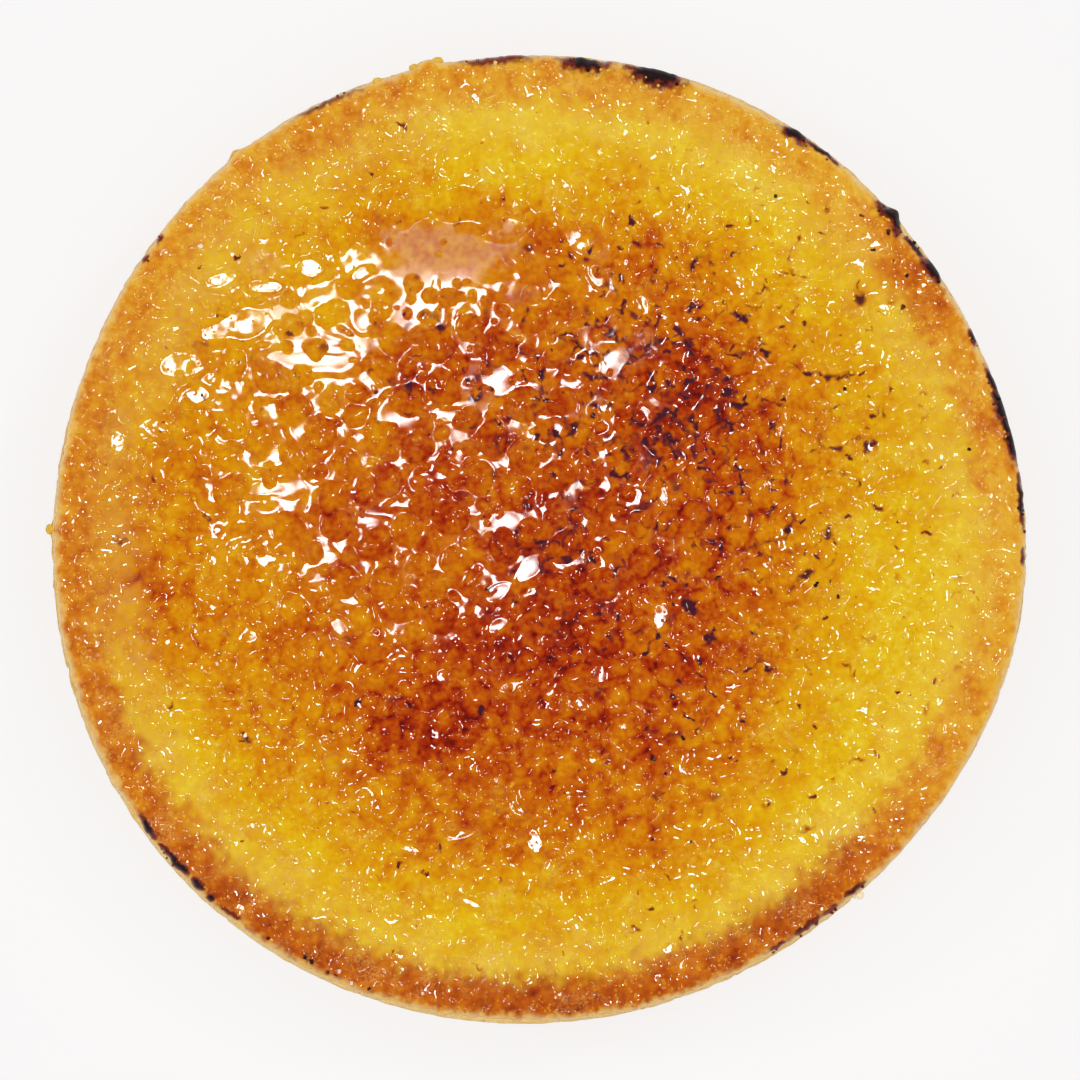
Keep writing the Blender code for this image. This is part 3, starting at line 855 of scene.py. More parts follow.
def mesh_object(name, points, faces, material, numbers=None):
    """An object from points in millimetres. numbers are attributes, one value a point."""
    mesh = bpy.data.meshes.new(name)
    mesh.vertices.add(len(points))
    mesh.vertices.foreach_set("co", (np.asarray(points, np.float64) * MM).ravel())
    faces = np.asarray(faces, np.int32)
    mesh.loops.add(faces.size)
    mesh.loops.foreach_set("vertex_index", faces.ravel())
    mesh.polygons.add(len(faces))
    mesh.polygons.foreach_set("loop_start", np.arange(0, faces.size, faces.shape[1], dtype=np.int32))
    for label, values in (numbers or {}).items():
        made = mesh.attributes.new(label, "FLOAT", "POINT")
        made.data.foreach_set("value", np.asarray(values, np.float32))
    mesh.update(calc_edges=True)
    mesh.validate()
    mesh.materials.append(material)
    mesh.shade_smooth()
    return add_object(name, mesh)


def point_normals(points, faces):
    """Smooth normals of a mesh, one a point."""
    corners = points[faces]
    across = np.cross(corners[:, 1] - corners[:, 0], corners[:, 2] - corners[:, 0])
    normals = np.zeros_like(points)
    for corner in range(3):
        for axis in range(3):
            normals[:, axis] += np.bincount(
                faces[:, corner], weights=across[:, axis], minlength=len(points)
            )
    return normals / np.linalg.norm(normals, axis=1, keepdims=True)


def underside(loops, pitch):
    """Triangles that close a sheet from below, over the area between its outer and inner edge.

    loops are the edges' (x, y), outer one first. Returns the points and the triangles, whose
    first points are those of the loops in turn."""
    given = [tuple(point) for loop in loops for point in loop]
    links = []
    start = 0
    for loop in loops:
        links += [(start + i, start + (i + 1) % len(loop)) for i in range(len(loop))]
        start += len(loop)
    outer = loops[0]
    reach = np.hypot(outer[:, 0], outer[:, 1]).min() - pitch
    hole = np.hypot(loops[1][:, 0], loops[1][:, 1]).max() + pitch if len(loops) > 1 else -1.0
    steps = np.arange(-RADIUS, RADIUS, pitch)
    grid = [(u, v) for u in steps for v in steps if hole < math.hypot(u, v) < reach]
    points, _, triangles, sources, _, _ = delaunay_2d_cdt(
        [Vector(point) for point in given + grid], links, [], 1, 1e-6
    )
    place = {at: source[0] for at, source in enumerate(sources)}
    kept = []
    inner = hole - pitch
    for triangle in triangles:
        middle = sum((points[i] for i in triangle), Vector((0, 0))) / 3
        if len(loops) == 1 or middle.length > inner - 0.5 * pitch and not all(
            len(outer) <= place[i] < len(given) for i in triangle
        ):
            kept.append([place[i] for i in triangle])
    return np.array(given + grid), np.array(kept)


def side_faces(edge, start, inward):
    """Triangles between an edge of a sheet and the points under it, which begin at start."""
    step = np.arange(len(edge))
    here = start + step
    after = start + (step + 1) % len(edge)
    up, up_after = edge, np.roll(edge, -1)
    if inward:
        here, after, up, up_after = after, here, up_after, up
    return [np.stack([here, after, up_after], 1), np.stack([here, up_after, up], 1)]


def caramel_rings(top, material):
    """The caramel as closed rings cut from one surface, with the surface's own normals."""
    lattice = top["lattice"]
    points = np.stack([top["x"], top["y"], top["z"]], 1)
    normals = point_normals(points, lattice.triangles(0, lattice.rings))
    names = ("caramel_middle", "caramel_belt", "caramel_border", "caramel_brim")
    cuts = [0] + [round(part * lattice.rings) for part in RING_CUTS] + [lattice.rings]
    labels = ("done_and_shade", "browned", "brim", "char", "soot", "dry", "dull", "haze", "thin")
    made = []
    for name, first, last in zip(names, cuts, cuts[1:]):
        faces = lattice.triangles(first, last)
        used = np.unique(faces)
        renumber = np.full(len(points), -1)
        renumber[used] = np.arange(len(used))
        edges = [lattice.ring_numbers(last)] + ([lattice.ring_numbers(first)] if first else [])
        below, closing = underside([points[edge][:, :2] for edge in edges], 4.0)
        depth = fill_level(below[:, 0], below[:, 1]) - SKIN
        outer = len(edges[0])
        if last == lattice.rings:
            depth[:outer] -= EDGE_GRIP
        low = np.column_stack([below, depth])
        sides = []
        start = len(used)
        for edge, inward in zip(edges, (False, True)):
            sides += side_faces(renumber[edge], start, inward)
            start += len(edge)
        closing = closing + len(used)
        ends = np.concatenate([points[used], low])
        a, b, c = (ends[closing[:, i]] for i in range(3))
        flip = np.cross(b - a, c - a)[:, 2] > 0
        closing[flip] = closing[flip][:, ::-1]
        every = np.concatenate([renumber[faces], closing] + sides)
        numbers = {}
        for label in labels:
            down = np.zeros(len(low))
            down[:outer] = top[label][edges[0]]
            numbers[label] = np.concatenate([top[label][used], down])
        piece = mesh_object(name, ends, every, material, numbers)
        facing_down = np.tile((0.0, 0.0, -1.0), (len(low), 1))
        facing_down[:outer, :2] = low[:outer, :2] / RADIUS
        facing_down[:outer, 2] = 0.0
        shared = np.concatenate([normals[used], facing_down])
        piece.data.normals_split_custom_set_from_vertices(shared)
        made.append(piece)
    return made


# ---------------------------------------------------------------- nodes


def plug(tree, node, inputs):
    """Sets a node's sockets. inputs are (socket, a constant or what another node puts out)."""
    for socket, given in inputs:
        given = given.socket if isinstance(given, Value) else given
        if isinstance(given, bpy.types.NodeSocket):
            tree.links.new(given, node.inputs[socket])
        else:
            node.inputs[socket].default_value = given


def add_node(tree, kind, inputs=(), **settings):
    made = tree.nodes.new(kind)
    for name, setting in settings.items():
        setattr(made, name, setting)
    plug(tree, made, inputs)
    return made


def new_group(name, kind, inputs, output):
    """A node group with named inputs and one output: the group, what comes in, and its end."""
    group = bpy.data.node_groups.new(name, kind)
    for label, sort in inputs:
        group.interface.new_socket(label, in_out="INPUT", socket_type="NodeSocket" + sort)
    label, sort = output
    group.interface.new_socket(label, in_out="OUTPUT", socket_type="NodeSocket" + sort)
    sockets = group.nodes.new("NodeGroupInput").outputs
    given = {label: Value(group, sockets[label]) for label, _ in inputs}
    return group, given, group.nodes.new("NodeGroupOutput")


class Value:
    """What a node puts out, and the arithmetic that goes on from it."""

    def __init__(self, tree, socket):
        self.tree = tree
        self.socket = socket

    def math(self, operation, other):
        made = add_node(self.tree, "ShaderNodeMath", [(0, self), (1, other)], operation=operation)
        return Value(self.tree, made.outputs[0])

    def __add__(self, other):
        return self.math("ADD", other)

    def __sub__(self, other):
        return self.math("SUBTRACT", other)

    def __mul__(self, other):
        return self.math("MULTIPLY", other)

    def clamped(self):
        self.socket.node.use_clamp = True
        return self

    def step(self, low, high):
        """Smoothly from 0 at low to 1 at high."""
        inputs = [("Value", self), ("From Min", low), ("From Max", high)]
        made = add_node(self.tree, "ShaderNodeMapRange", inputs, interpolation_type="SMOOTHSTEP")
        return Value(self.tree, made.outputs[0])

    def ramp(self, stops):
        """A colour ramp over (position, colour) stops."""
        made = add_node(self.tree, "ShaderNodeValToRGB", [("Fac", self)])
        band = made.color_ramp
        while len(band.elements) > 1:
            band.elements.remove(band.elements[-1])
        for number, (position, colour) in enumerate(stops):
            element = band.elements[0] if number == 0 else band.elements.new(position)
            element.position = position
            element.color = linear(*colour)
        return Value(self.tree, made.outputs["Color"])


def linear(red, green, blue):
    """A colour given as it looks on a screen, from 0 to 255, in linear light."""
    parts = (channel / 255 for channel in (red, green, blue))
    return tuple(p / 12.92 if p <= 0.04045 else ((p + 0.055) / 1.055) ** 2.4 for p in parts) + (1.0,)


CHAR_COLOUR = linear(34, 18, 20)


class Look:
    """A material in the making: its nodes, its shader, and places on the object."""

    def __init__(self, name):
        self.material = bpy.data.materials.new(name)
        self.material.use_nodes = True
        self.tree = self.material.node_tree
        self.place = self.put("ShaderNodeTexCoord", "Object")

    def put(self, kind, output, inputs=(), **settings):
        """A node's output, by name or number."""
        return Value(self.tree, add_node(self.tree, kind, inputs, **settings).outputs[output])

    def attribute(self, name):
        return self.put("ShaderNodeAttribute", "Fac", attribute_name=name)

    def noise(self, size, detail=2.0, roughness=0.5):
        """Noise between 0 and 1 whose features are about size across, in millimetres."""
        inputs = [("Scale", 1 / (size * MM)), ("Detail", detail), ("Roughness", roughness)]
        return self.put("ShaderNodeTexNoise", "Fac", [("Vector", self.place), *inputs])

    def mix(self, share, first, second):
        """From the first colour to the second."""
        return self.put("ShaderNodeMix", 2, [(0, share), (6, first), (7, second)], data_type="RGBA")

    def from_group(self, group, output, size, *inputs):
        """What a node group puts out for cells of a size, in millimetres."""
        place = [("Vector", self.place), ("Scale", 1 / (size * MM))]
        return self.put("ShaderNodeGroup", output, place + list(inputs), node_tree=group)

    def bumpy(self, height, strength, distance):
        inputs = [("Height", height), ("Strength", strength), ("Distance", distance * MM)]
        return ("Normal", self.put("ShaderNodeBump", "Normal", inputs))

    def finish(self, *inputs):
        plug(self.tree, self.tree.nodes["Principled BSDF"], inputs)
        return self.material


# ---------------------------------------------------------------- materials


def speckle_group():
    """A group that puts out small scattered specks: a mask from a size and an amount."""
    inputs = (("Vector", "Vector"), ("Scale", "Float"), ("Amount", "Float"))
    group, given, end = new_group("baked_specks", "ShaderNodeTree", inputs, ("Mask", "Float"))
    place = [("Vector", given["Vector"]), ("Scale", given["Scale"])]
    cells = add_node(group, "ShaderNodeTexVoronoi", place)
    blotches = add_node(group, "ShaderNodeTexNoise", place)
    low = Value(group, blotches.outputs["Fac"]) * given["Amount"]
    plug(group, end, [("Mask", Value(group, cells.outputs["Distance"]).step(low, 0.02))])
    return group


def facet_group():
    """A group that puts out the surface's normal, tipped in a share of small cells, as the
    flat faces of sugar crystals under the glaze tip it."""
    inputs = (("Vector", "Vector"), ("Scale", "Float"), ("Tilt", "Float"), ("Share", "Float"))
    group, given, end = new_group("crystal_facets", "ShaderNodeTree", inputs, ("Normal", "Vector"))

    def vector(operation, *inputs):
        return add_node(group, "ShaderNodeVectorMath", inputs, operation=operation).outputs[0]

    place = [("Vector", given["Vector"]), ("Scale", given["Scale"])]
    cell = add_node(group, "ShaderNodeTexVoronoi", place).outputs["Color"]
    own = add_node(group, "ShaderNodeSeparateColor", [(0, cell)]).outputs["Blue"]
    tilt = Value(group, own).math("LESS_THAN", given["Share"]) * given["Tilt"]
    tipped = vector("SUBTRACT", (0, cell), (1, (0.5, 0.5, 0.5)))
    tipped = vector("SCALE", (0, tipped), ("Scale", tilt))
    tipped = vector("MULTIPLY", (0, tipped), (1, (1.0, 1.0, 0.0)))
    normal = group.nodes.new("ShaderNodeNewGeometry").outputs["Normal"]
    tipped = vector("ADD", (0, normal), (1, tipped))
    plug(group, end, [("Normal", vector("NORMALIZE", (0, tipped)))])
    return group


def caramel_material(specks, facets):
    """Glassy sugar over custard and brim, from yellow through amber and red to burnt black."""
    look = Look("caramel")
    names = ("brim", "dry", "haze", "char", "soot")
    brim, dry, haze, char, soot = (look.attribute(name) for name in names)
    fine = look.noise(0.55, detail=3.0)
    waver = fine * 0.34 + look.noise(2.2) * 0.20
    # How far the sugar has turned, with the painted shade of its hollows in it
    done_and_shade = (look.attribute("done_and_shade") + waver - 0.27).clamped()
    browned = (look.attribute("browned") + waver - 0.27).clamped()
    colour = look.mix(brim, done_and_shade.ramp(FILLING_STOPS), browned.ramp(BRIM_STOPS))

    # Crystals that stayed whole pale the sugar in patches
    frost = look.noise(3.4).step(0.50, 0.66) * look.noise(0.26).step(0.42, 0.68) * dry
    frost = frost * done_and_shade.step(0.44, 0.24) * (brim * -0.08 + 0.36)
    colour = look.mix(frost, colour, linear(238, 206, 118))
    mist = fine.step(0.30, 0.70) * haze * 0.24 + haze * 0.05
    colour = look.mix(mist, colour, linear(240, 212, 124))

    # Soot: a stain, and in it ragged crusts, each darker where the sugar has turned further and where
    # the painted shade of its hollows darkens it
    cooked = done_and_shade.step(0.15, 0.50)
    stained, light_crust, dark_crust = (
        look.mix(cooked, linear(*golden), linear(*dark)) for golden, dark in SOOT_COLOURS
    )
    ragged = look.noise(0.17, detail=3.0, roughness=0.75) * 1.1 - 0.55
    colour = look.mix(soot.step(0.02, 0.62) * 0.76, colour, stained)
    patchy = (soot + look.noise(0.40) * 0.7).step(0.90, 1.16)
    crust = look.mix(patchy, light_crust, dark_crust)
    colour = look.mix((soot + ragged).step(0.44, 0.76), colour, crust)

    scattered_specks = look.from_group(specks, "Mask", 1.6, ("Amount", 0.16))
    colour = look.mix(scattered_specks * 0.30, colour, linear(140, 62, 18))
    # The thin lip is pale: partly thin sugar over the pastry, partly painted light that lifts the shade
    # where the lip meets the case
    colour = look.mix(look.attribute("thin") * 0.80, colour, linear(248, 202, 96))
    colour = look.mix(char.step(0.02, 0.60), colour, linear(120, 34, 12))
    colour = look.mix((char + ragged * 0.35).step(0.62, 0.82), colour, CHAR_COLOUR)
    return look.finish(
        ("Base Color", colour),
        ("Roughness", char * 0.42 + (look.attribute("dull") * 0.26 + 0.04)),
        ("Specular IOR Level", char * -0.36 + 0.50),
        ("IOR", 1.5),
        ("Normal", look.from_group(facets, "Normal", 0.27, ("Tilt", 0.30), ("Share", dry * 0.15))),
    )


def pastry_material(specks):
    """Baked shortcrust: sandy, golden, darker in its pits, browned in blotches."""
    look = Look("pastry")
    crumb = look.noise(0.6, detail=4.0, roughness=0.7)
    sand = look.noise(0.24, roughness=0.6)
    baked = look.noise(6.0, detail=5.0, roughness=0.62) * 0.80 + crumb * 0.36 + sand * 0.20
    colour = (baked + look.attribute("baked") - 0.66).clamped().ramp(PASTRY_STOPS)
    dark = look.from_group(specks, "Mask", 0.9, ("Amount", 0.24)) * 0.5
    colour = look.mix(dark, colour, linear(142, 84, 36))
    return look.finish(
        ("Base Color", look.mix(look.attribute("char"), colour, CHAR_COLOUR)),
        ("Roughness", 0.70),
        ("Specular IOR Level", 0.22),
        look.bumpy(crumb + sand * 0.5, 0.9, 0.30),
    )


def crystal_material():
    """Clear sugar crystals, cream with a blush of pink."""
    look = Look("clear_sugar")
    blush = look.noise(2.0).ramp(((0.45, (246, 230, 200)), (0.75, (244, 176, 158))))
    ripple = look.bumpy(look.noise(0.15), 0.2, 0.05)
    return look.finish(("Base Color", blush), ("Roughness", 0.12), ("IOR", 1.5), ripple)


def custard_material():
    """Set custard: egg yellow, faintly mottled."""
    look = Look("custard")
    mottle = look.noise(4.0, detail=3.0)
    yellow = mottle.ramp(((0.3, (232, 192, 62)), (0.7, (222, 172, 40))))
    return look.finish(("Base Color", yellow), ("Roughness", 0.4), look.bumpy(mottle, 0.3, 0.2))


# ---------------------------------------------------------------- the pastry case


def side_wobble(heading, height):
    """How far the side dips in, more towards its middle height."""
    wave = np.sin(7 * heading + 0.18 * height) + 0.7 * np.sin(11 * heading - 0.26 * height + 2)
    return SIDE_WOBBLE * np.sin(math.pi * height / HEIGHT) * (1 + 0.6 * wave)


def side_cloud(heading, travel, size, seed, layers):
    """Noise over the case, by heading and by how far along its section, with no seam."""
    front = RADIUS * ((heading + math.pi) % TAU - math.pi)
    back = RADIUS * (heading % TAU) + 4 * RADIUS
    behind = smooth_step(RADIUS * 1.2, RADIUS * 1.9, np.abs(front))
    level = np.full_like(heading, travel)
    near = layered_cloud(front, level, size, seed, layers=layers)
    return near * (1 - behind) + behind * layered_cloud(back, level, size, seed, layers=layers)


def case_profile():
    """The case's section from the middle of its base, round its side and brim, to the inside.

    Each entry is (inset, height, whether the height is down from the brim, how rough)."""
    rows = [(inset, 0.0, False, 0.0) for inset in (40.0, 30.0, 20.0, 12.0, 7.0, 4.0, 2.0)]
    for step in range(6):
        down, out = polar(FOOT_ROUND, math.pi / 2 * step / 5)
        rows.append((FOOT_ROUND - out, FOOT_ROUND - down, False, 0.3))
    side_top = HEIGHT - BRIM_ROUND - 0.6
    count = 46
    for step in range(1, count + 1):
        rows.append((0.0, FOOT_ROUND + (side_top - FOOT_ROUND) * step / count, False, 1.0))
    for step in range(7):
        out, up = polar(BRIM_ROUND, math.pi / 2 * step / 6)
        rows.append((BRIM_ROUND - out, BRIM_ROUND - up, True, 0.7))
    rows += [(inset, 0.0, True, 0.2) for inset in (1.6, 2.4, 3.2, WALL - 0.5)]
    rows += [(WALL, 0.5, True, 0.0), (WALL, 3.0, True, 0.0), (WALL + 0.6, HEIGHT - BASE, True, 0.0)]
    return rows


def case_char(heading, z, crumbs):
    """How charred the case is under the blackest of the charred marks."""
    char = np.zeros_like(heading)
    for at, half_length, width, *_, black in CHARRED:
        if black == 1:
            along = RADIUS * turn_between(heading, at) / half_length
            away = np.hypot(along, (HEIGHT - z) / (0.5 + 0.9 * width)) + 0.3 * crumbs
            char = np.maximum(char, 1 - smooth_step(0.7, 1.15, away))
    return char


def wall_faces(rings, count):
    """Triangles between rings of points, closed at both ends by a point, the first one first."""
    step = np.arange(count)
    after = (step + 1) % count
    faces = []
    for low in range(0, (rings - 1) * count, count):
        high = low + count
        faces.append(np.stack([low + step, low + after, high + after], 1))
        faces.append(np.stack([low + step, high + after, high + step], 1))
    last = (rings - 1) * count
    poles = rings * count
    faces.append(np.stack([np.full(count, poles), after, step], 1))
    faces.append(np.stack([np.full(count, poles + 1), last + step, last + after], 1))
    return np.concatenate(faces)


def pastry_case(material):
    """The case, its side and brim roughened by crumbs and pits."""
    count = 780
    heading = TAU * np.arange(count) / count
    rings = []
    baked = []
    charred = []
    travel = 0.0
    previous = (0.0, 0.0)
    for inset, height, from_brim, rough in case_profile():
        level = HEIGHT - height if from_brim else height
        travel += math.dist(previous, (inset, level))
        previous = (inset, level)
        wobble = 0.0 if from_brim or height == 0.0 else side_wobble(heading, height)
        x, y = edge_points(heading, inset + wobble)
        z = fill_level(x, y) - height if from_brim else np.full(count, height)
        crumbs = side_cloud(heading, travel, 1.6, 201, layers=4)
        pits = -np.clip(side_cloud(heading, travel, 1.1, 211, layers=3) - 0.45, 0, 1)
        patches = side_cloud(heading, travel, 7.0, 221, layers=2)
        push = rough * (0.11 * crumbs + 0.55 * pits)
        x += push * np.cos(heading)
        y += push * np.sin(heading)
        if from_brim:
            z = z + 0.5 * push
        rings.append(np.stack([x, y, z], 1))
        part = np.clip(z / HEIGHT, 0, 1)
        # Browner high on the side and at the foot; paler over the brim's rounded top: partly the
        # pastry's own pale edge, partly painted light that lifts the shade on that outward-facing
        # rounding
        tone = 0.12 + 0.16 * smooth_step(0.55, 0.90, part) - 0.30 * smooth_step(0.93, 0.99, part)
        tone += 0.20 * smooth_step(0.20, 0.0, part)
        tone += 0.16 * patches * (1 - smooth_step(0.9, 0.98, part))
        baked.append(tone + 0.14 * crumbs - 0.5 * pits * rough)
        charred.append(case_char(heading, z, crumbs))
    points = np.concatenate(rings + [np.array([[0, 0, 0.0], [0, 0, BASE]])])
    numbers = {
        "baked": np.concatenate(baked + [np.array([0.1, 0.1])]),
        "char": np.concatenate(charred + [np.zeros(2)]),
    }
    return mesh_object("baked_case", points, wall_faces(len(rings), count), material, numbers)


# ---------------------------------------------------------------- grains, crumbs and lumps


def grain_shape(name, cut):
    """A sugar grain one unit across: a box with its edges and corners cut off."""
    shape = bmesh.new()
    bmesh.ops.create_cube(shape, size=1.0)
    bmesh.ops.bevel(shape, geom=shape.edges[:], offset=cut, segments=1, affect="EDGES")
    bmesh.ops.recalc_face_normals(shape, faces=shape.faces[:])
    mesh = bpy.data.meshes.new(name)
    shape.to_mesh(mesh)
    shape.free()
    return add_object(name, mesh)


def scatter_tree():
    """Sets a grain on every point of a bed, each of its own size, turned and tipped at random."""
    inputs = (
        ("Bed", "Geometry"),
        ("Grain", "Object"),
        ("Smallest", "Float"),
        ("Largest", "Float"),
        ("Tip", "Float"),
        ("Seed", "Int"),
        ("Material", "Material"),
    )
    tree, given, end = new_group("scattered_grains", "GeometryNodeTree", inputs, ("Grains", "Geometry"))

    def drawn(kind, number, first, low, high):
        """A random value for every point, by its sockets for low, high and the draw."""
        inputs = [(first, low), (first + 1, high), ("Seed", given["Seed"] + float(number))]
        made = add_node(tree, "FunctionNodeRandomValue", inputs, data_type=kind)
        return made.outputs[first // 2]

    tip = given["Tip"]
    back = tip * -1.0
    low = add_node(tree, "ShaderNodeCombineXYZ", [("X", back), ("Y", back)]).outputs[0]
    high = add_node(tree, "ShaderNodeCombineXYZ", [("X", tip), ("Y", tip), ("Z", TAU)]).outputs[0]
    turn = add_node(tree, "FunctionNodeEulerToRotation", [(0, drawn("FLOAT_VECTOR", 1, 0, low, high))])
    size = drawn("FLOAT", 2, 2, given["Smallest"], given["Largest"])
    sides = drawn("FLOAT_VECTOR", 3, 0, (0.6, 0.6, 0.6), (1.0, 1.0, 1.0))
    scale = add_node(tree, "ShaderNodeVectorMath", [(0, sides), ("Scale", size)], operation="SCALE")
    grain = add_node(tree, "GeometryNodeObjectInfo", [("Object", given["Grain"])])
    inputs = [
        ("Points", given["Bed"]),
        ("Instance", grain.outputs["Geometry"]),
        ("Rotation", turn.outputs[0]),
        ("Scale", scale.outputs[0]),
    ]
    set_down = add_node(tree, "GeometryNodeInstanceOnPoints", inputs).outputs[0]
    solid = add_node(tree, "GeometryNodeRealizeInstances", [("Geometry", set_down)]).outputs[0]
    inputs = [("Geometry", solid), ("Material", given["Material"])]
    plug(tree, end, [(0, add_node(tree, "GeometryNodeSetMaterial", inputs).outputs[0])])
    return tree


def scattered(name, tree, grain, points, numbers, sizes, seed, material):
    """Grains on points in millimetres, as one plain mesh. numbers colour them."""
    bed = mesh_object(name + "_bed", points, np.zeros((0, 3)), material, numbers)
    modifier = bed.modifiers.new("scatter", "NODES")
    modifier.node_group = tree
    socket = {item.name: item.identifier for item in tree.interface.items_tree}
    modifier[socket["Grain"]] = grain
    modifier[socket["Smallest"]] = sizes[0] * MM
    modifier[socket["Largest"]] = sizes[1] * MM
    modifier[socket["Tip"]] = GRAIN_TIP
    modifier[socket["Seed"]] = seed
    modifier[socket["Material"]] = material
    depsgraph = bpy.context.evaluated_depsgraph_get()
    mesh = bpy.data.meshes.new_from_object(
        bed.evaluated_get(depsgraph), preserve_all_data_layers=True, depsgraph=depsgraph
    )
    bed.modifiers.remove(modifier)
    bpy.data.objects.remove(bed)
    mesh.name = name
    return add_object(name, mesh)


def sugar_grains(top, tree, grain, material):
    """Grains that the torch left whole, most of them on the brim and beside it."""
    draw = np.random.default_rng(GRAIN_SEED)
    x, y = top["x"], top["y"]
    patches = np.clip(0.6 + 0.9 * cloud(x, y, 4.0, 301), 0.1, 1.6)
    wanted = top["dry"] * (0.20 + 0.95 * top["brim"] + 0.55 * top["haze"]) * patches
    wanted *= (1 - top["char"]) * (top["from_edge"] > 0.5)
    at = draw.choice(len(x), GRAINS, replace=False, p=wanted / wanted.sum())
    points = np.stack([x[at], y[at], top["z"][at] - 0.05 + 0.05 * draw.random(GRAINS)], 1)
    paler = 0.10 + 0.14 * draw.random(GRAINS)
    numbers = {
        "done_and_shade": np.clip(top["done_and_shade"][at] - paler, 0, 1),
        "browned": np.clip(top["browned"][at] - paler, 0, 1),
        "brim": top["brim"][at],
        "haze": draw.random(GRAINS) ** 2,
    }
    return scattered("sugar_grains", tree, grain, points, numbers, GRAIN_SIZES, GRAIN_SEED, material)


def surface_height(top, x, y):
    """Height of the caramel at a place, in millimetres."""
    return top["z"][np.argmin((top["x"] - x) ** 2 + (top["y"] - y) ** 2)]


def burnt_crumbs(top, tree, grain, material):
    """Scorched grains on the caramel, and burnt crumbs beside the charred marks."""
    draw = random.Random(GRAIN_SEED + 1)
    found = []
    burnt = []
    for x, y, radius in SCORCHED_GRAINS:
        for _ in range(6 if radius > 0.3 else 3):
            dx, dy = polar(0.9 * radius * draw.random(), draw.uniform(0, TAU))
            if inset_of(x + dx, y + dy) < 0.3:
                continue
            level = surface_height(top, x + dx, y + dy)
            found.append((x + dx, y + dy, level + draw.uniform(-0.02, 0.10)))
            burnt.append(draw.uniform(0.5, 1.0))
    while len(found) < CRUMBS + 3 * len(SCORCHED_GRAINS):
        at, half_length, width, inner, _, black = draw.choice(CHARRED)
        heading = math.radians(at) + draw.gauss(0, 0.9) * half_length / RADIUS
        inset = max(inner + draw.uniform(-0.2, width + 0.4), 0.25)
        x, y = (float(side[0]) for side in edge_points(np.array([heading]), inset))
        found.append((x, y, surface_height(top, x, y) + draw.uniform(-0.05, 0.06)))
        burnt.append(draw.uniform(0.4, 1.0) * black)
    numbers = {"char": np.array(burnt), "done_and_shade": np.full(len(found), 0.9)}
    seed = GRAIN_SEED + 1
    return scattered("burnt_crumbs", tree, grain, np.array(found), numbers, CRUMB_SIZES, seed, material)


def pale_crystals(top, tree, grain, material):
    """The few clear crystals that lie on top, pink and cream."""
    found = np.array([(x, y, surface_height(top, x, y) + 0.04) for x, y in PALE_CRYSTALS])
    seed = GRAIN_SEED + 2
    return scattered("pale_crystals", tree, grain, found, {}, CRYSTAL_SIZES, seed, material)


def rounded_lumps(name, lumps, material, roughness):
    """Blobs, each (heading, how far out, height, half length along the edge, half width)."""
    points = []
    faces = []
    for number, (at, out, height, length, width) in enumerate(lumps):
        shape = bmesh.new()
        bmesh.ops.create_icosphere(shape, subdivisions=4, radius=1.0)
        ball = np.array([vertex.co for vertex in shape.verts])
        sides = np.array([[vertex.index for vertex in face.verts] for face in shape.faces])
        shape.free()
        push = layered_cloud(ball[:, 0] + 9 * number, ball[:, 1] + 1.3 * ball[:, 2], 0.55, 311)
        ball *= (1 + roughness * push)[:, None]
        ball *= (width, length, 0.8 * width)
        x, y = turned(out + ball[:, 0], ball[:, 1], -math.radians(at))
        faces.append(sides + len(ball) * number)
        points.append(np.stack([x - MIDDLE[0], y - MIDDLE[1], height + ball[:, 2]], 1))
    return mesh_object(name, np.concatenate(points), np.concatenate(faces), material)


# ---------------------------------------------------------------- camera, light and floor


def add_camera():
    """The camera, straight over the tart."""
    data = bpy.data.cameras.new("camera")
    data.sensor_width = SENSOR
    data.lens = SENSOR * CAMERA_RISE / VIEW_WIDTH
    data.clip_start = 0.01
    camera = add_object("camera", data)
    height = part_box("caramel_top")[1][2] + CAMERA_RISE * MM
    camera.location = ((CAMERA_AIM[0] - MIDDLE[0]) * MM, (CAMERA_AIM[1] - MIDDLE[1]) * MM, height)
    bpy.context.scene.camera = camera


def add_light(name, place, size, brightness, mirrored=True, soft=False):
    """A softbox aimed at the tart. Brightness is what a mirror would show of its middle; a
    soft one fades towards its edges."""
    data = bpy.data.lights.new(name, "AREA")
    data.shape = "ELLIPSE" if soft else "RECTANGLE"
    data.size, data.size_y = (side * MM for side in size)
    data.energy = brightness * math.pi * data.size * data.size_y
    if soft:
        data.energy *= math.pi / 4
        data.use_nodes = True
        tree = data.node_tree
        across = add_node(tree, "ShaderNodeNewGeometry").outputs["Parametric"]
        inputs = [(0, across), (1, (0.5, 0.5, 0.0))]
        away = add_node(tree, "ShaderNodeVectorMath", inputs, operation="DISTANCE")
        fade = Value(tree, away.outputs["Value"]).step(0.50, 0.10)
        plug(tree, tree.nodes["Emission"], [("Strength", fade)])
    light = add_object(name, data)
    light.location = [side * MM for side in place]
    light.visible_glossy = mirrored
    direction = Vector((0, 0, HEIGHT * MM)) - light.location
    light.rotation_euler = direction.to_track_quat("-Z", "Y").to_euler()


def around(heading, lean, away):
    """A place at a heading and a lean from straight up, both in degrees."""
    side, up = away * math.sin(math.radians(lean)), away * math.cos(math.radians(lean))
    return (*polar(side, math.radians(heading)), up)


def add_lights():
    add_light("key_softbox", MAIN_LIGHT, (170, 125), 44.0, soft=True)
    add_light("softbox_left", around(165, 38, 1300), (90, 160), 24.0)
    add_light("softbox_right", around(35, 30, 1300), (90, 150), 24.0)
    add_light("overhead_fill", (0, 0, 1500), (1600, 1600), 2.6, mirrored=False)


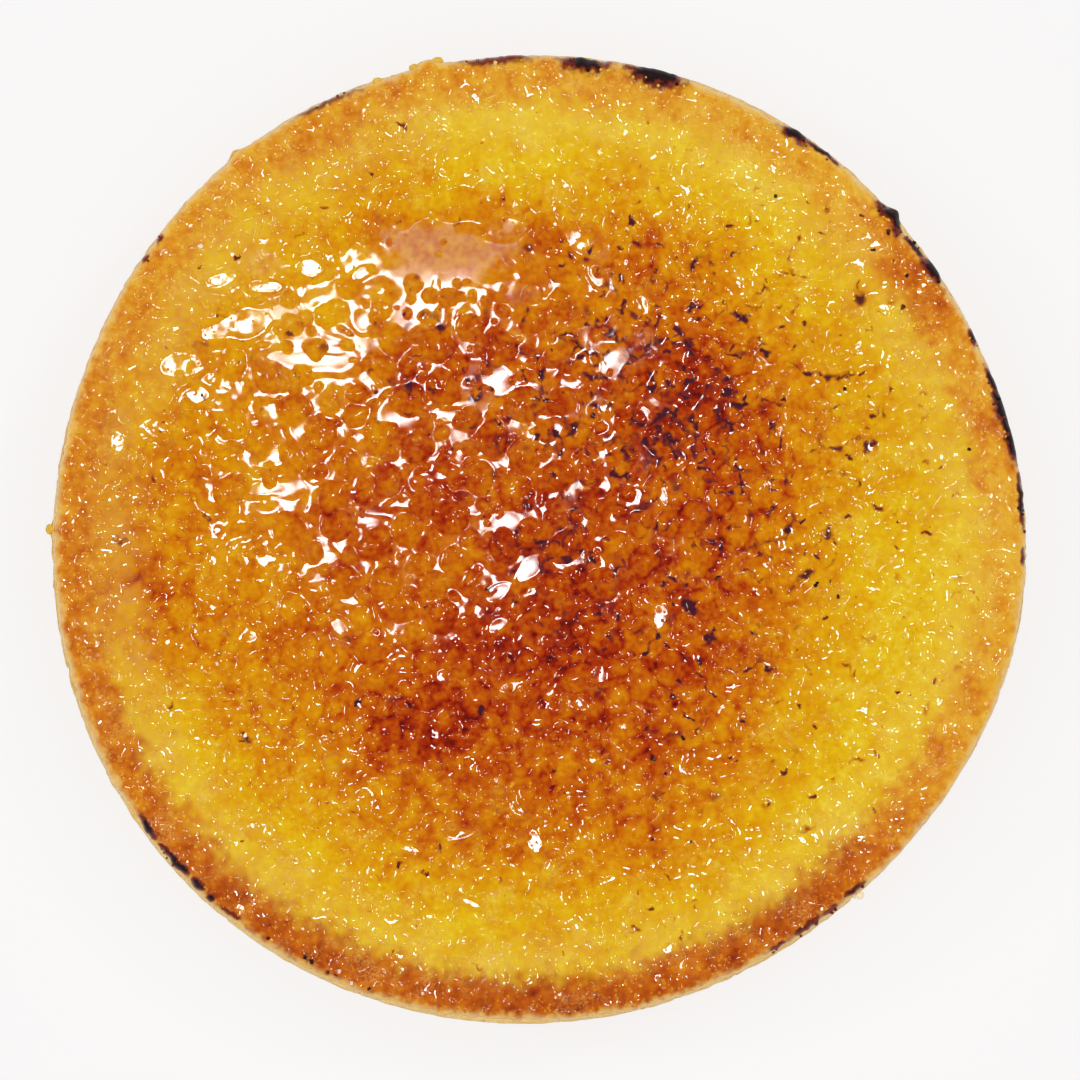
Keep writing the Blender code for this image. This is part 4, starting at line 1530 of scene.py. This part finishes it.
def add_world():
    """Dim overhead, brighter towards the horizon."""
    world = bpy.data.worlds.new("studio")
    world.use_nodes = True
    bpy.context.scene.world = world
    tree = world.node_tree
    place = add_node(tree, "ShaderNodeTexCoord").outputs["Generated"]
    rise = Value(tree, add_node(tree, "ShaderNodeSeparateXYZ", [(0, place)]).outputs["Z"])
    shade = rise.ramp(((0.0, (236, 236, 236)), (0.30, (150, 150, 150)), (0.65, (84, 84, 84))))
    plug(tree, tree.nodes["Background"], [("Color", shade), ("Strength", 0.9)])


def add_floor():
    """A pale light table."""
    look = Look("light_table")
    pale = look.noise(400.0).ramp(((0.0, (243, 242, 242)), (1.0, (247, 246, 246))))
    material = look.finish(
        ("Base Color", look.mix(0.80, pale, (0.0, 0.0, 0.0, 1.0))),
        ("Emission Color", pale),
        ("Emission Strength", 0.835),
        ("Roughness", 0.9),
        ("Specular IOR Level", 0.0),
    )
    corners = [(x * FLOOR_HALF, y * FLOOR_HALF, 0.0) for x, y in ((-1, -1), (1, -1), (1, 1), (-1, 1))]
    mesh_object("floor", corners, [[0, 1, 2, 3]], material)


def main():
    bpy.context.scene.view_settings.view_transform = "Standard"
    add_camera()
    add_world()
    add_lights()
    add_floor()

    specks = speckle_group()
    caramel = caramel_material(specks, facet_group())
    pastry = pastry_material(specks)
    custard = custard_material()

    top = caramel_surface()
    colour_caramel(top)
    for piece in caramel_rings(top, caramel):
        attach(piece, "root")
        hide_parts("caramel_top")
    tree = scatter_tree()
    grain = grain_shape("grain", 0.16)
    clear = crystal_material()
    for piece in (
        sugar_grains(top, tree, grain, caramel),
        burnt_crumbs(top, tree, grain, caramel),
        pale_crystals(top, tree, grain, clear),
        rounded_lumps("sugar_droplet", DROPLET, clear, 0.05),
    ):
        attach(piece, "root")
    bpy.data.objects.remove(grain)
    lumps = rounded_lumps("edge_lumps", EDGE_LUMPS, custard, 0.16)
    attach(lumps, "root")
    case = pastry_case(pastry)
    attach(case, "root")
    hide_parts("pastry_case")
    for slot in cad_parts["custard_filling"].material_slots:
        slot.material = custard


main()
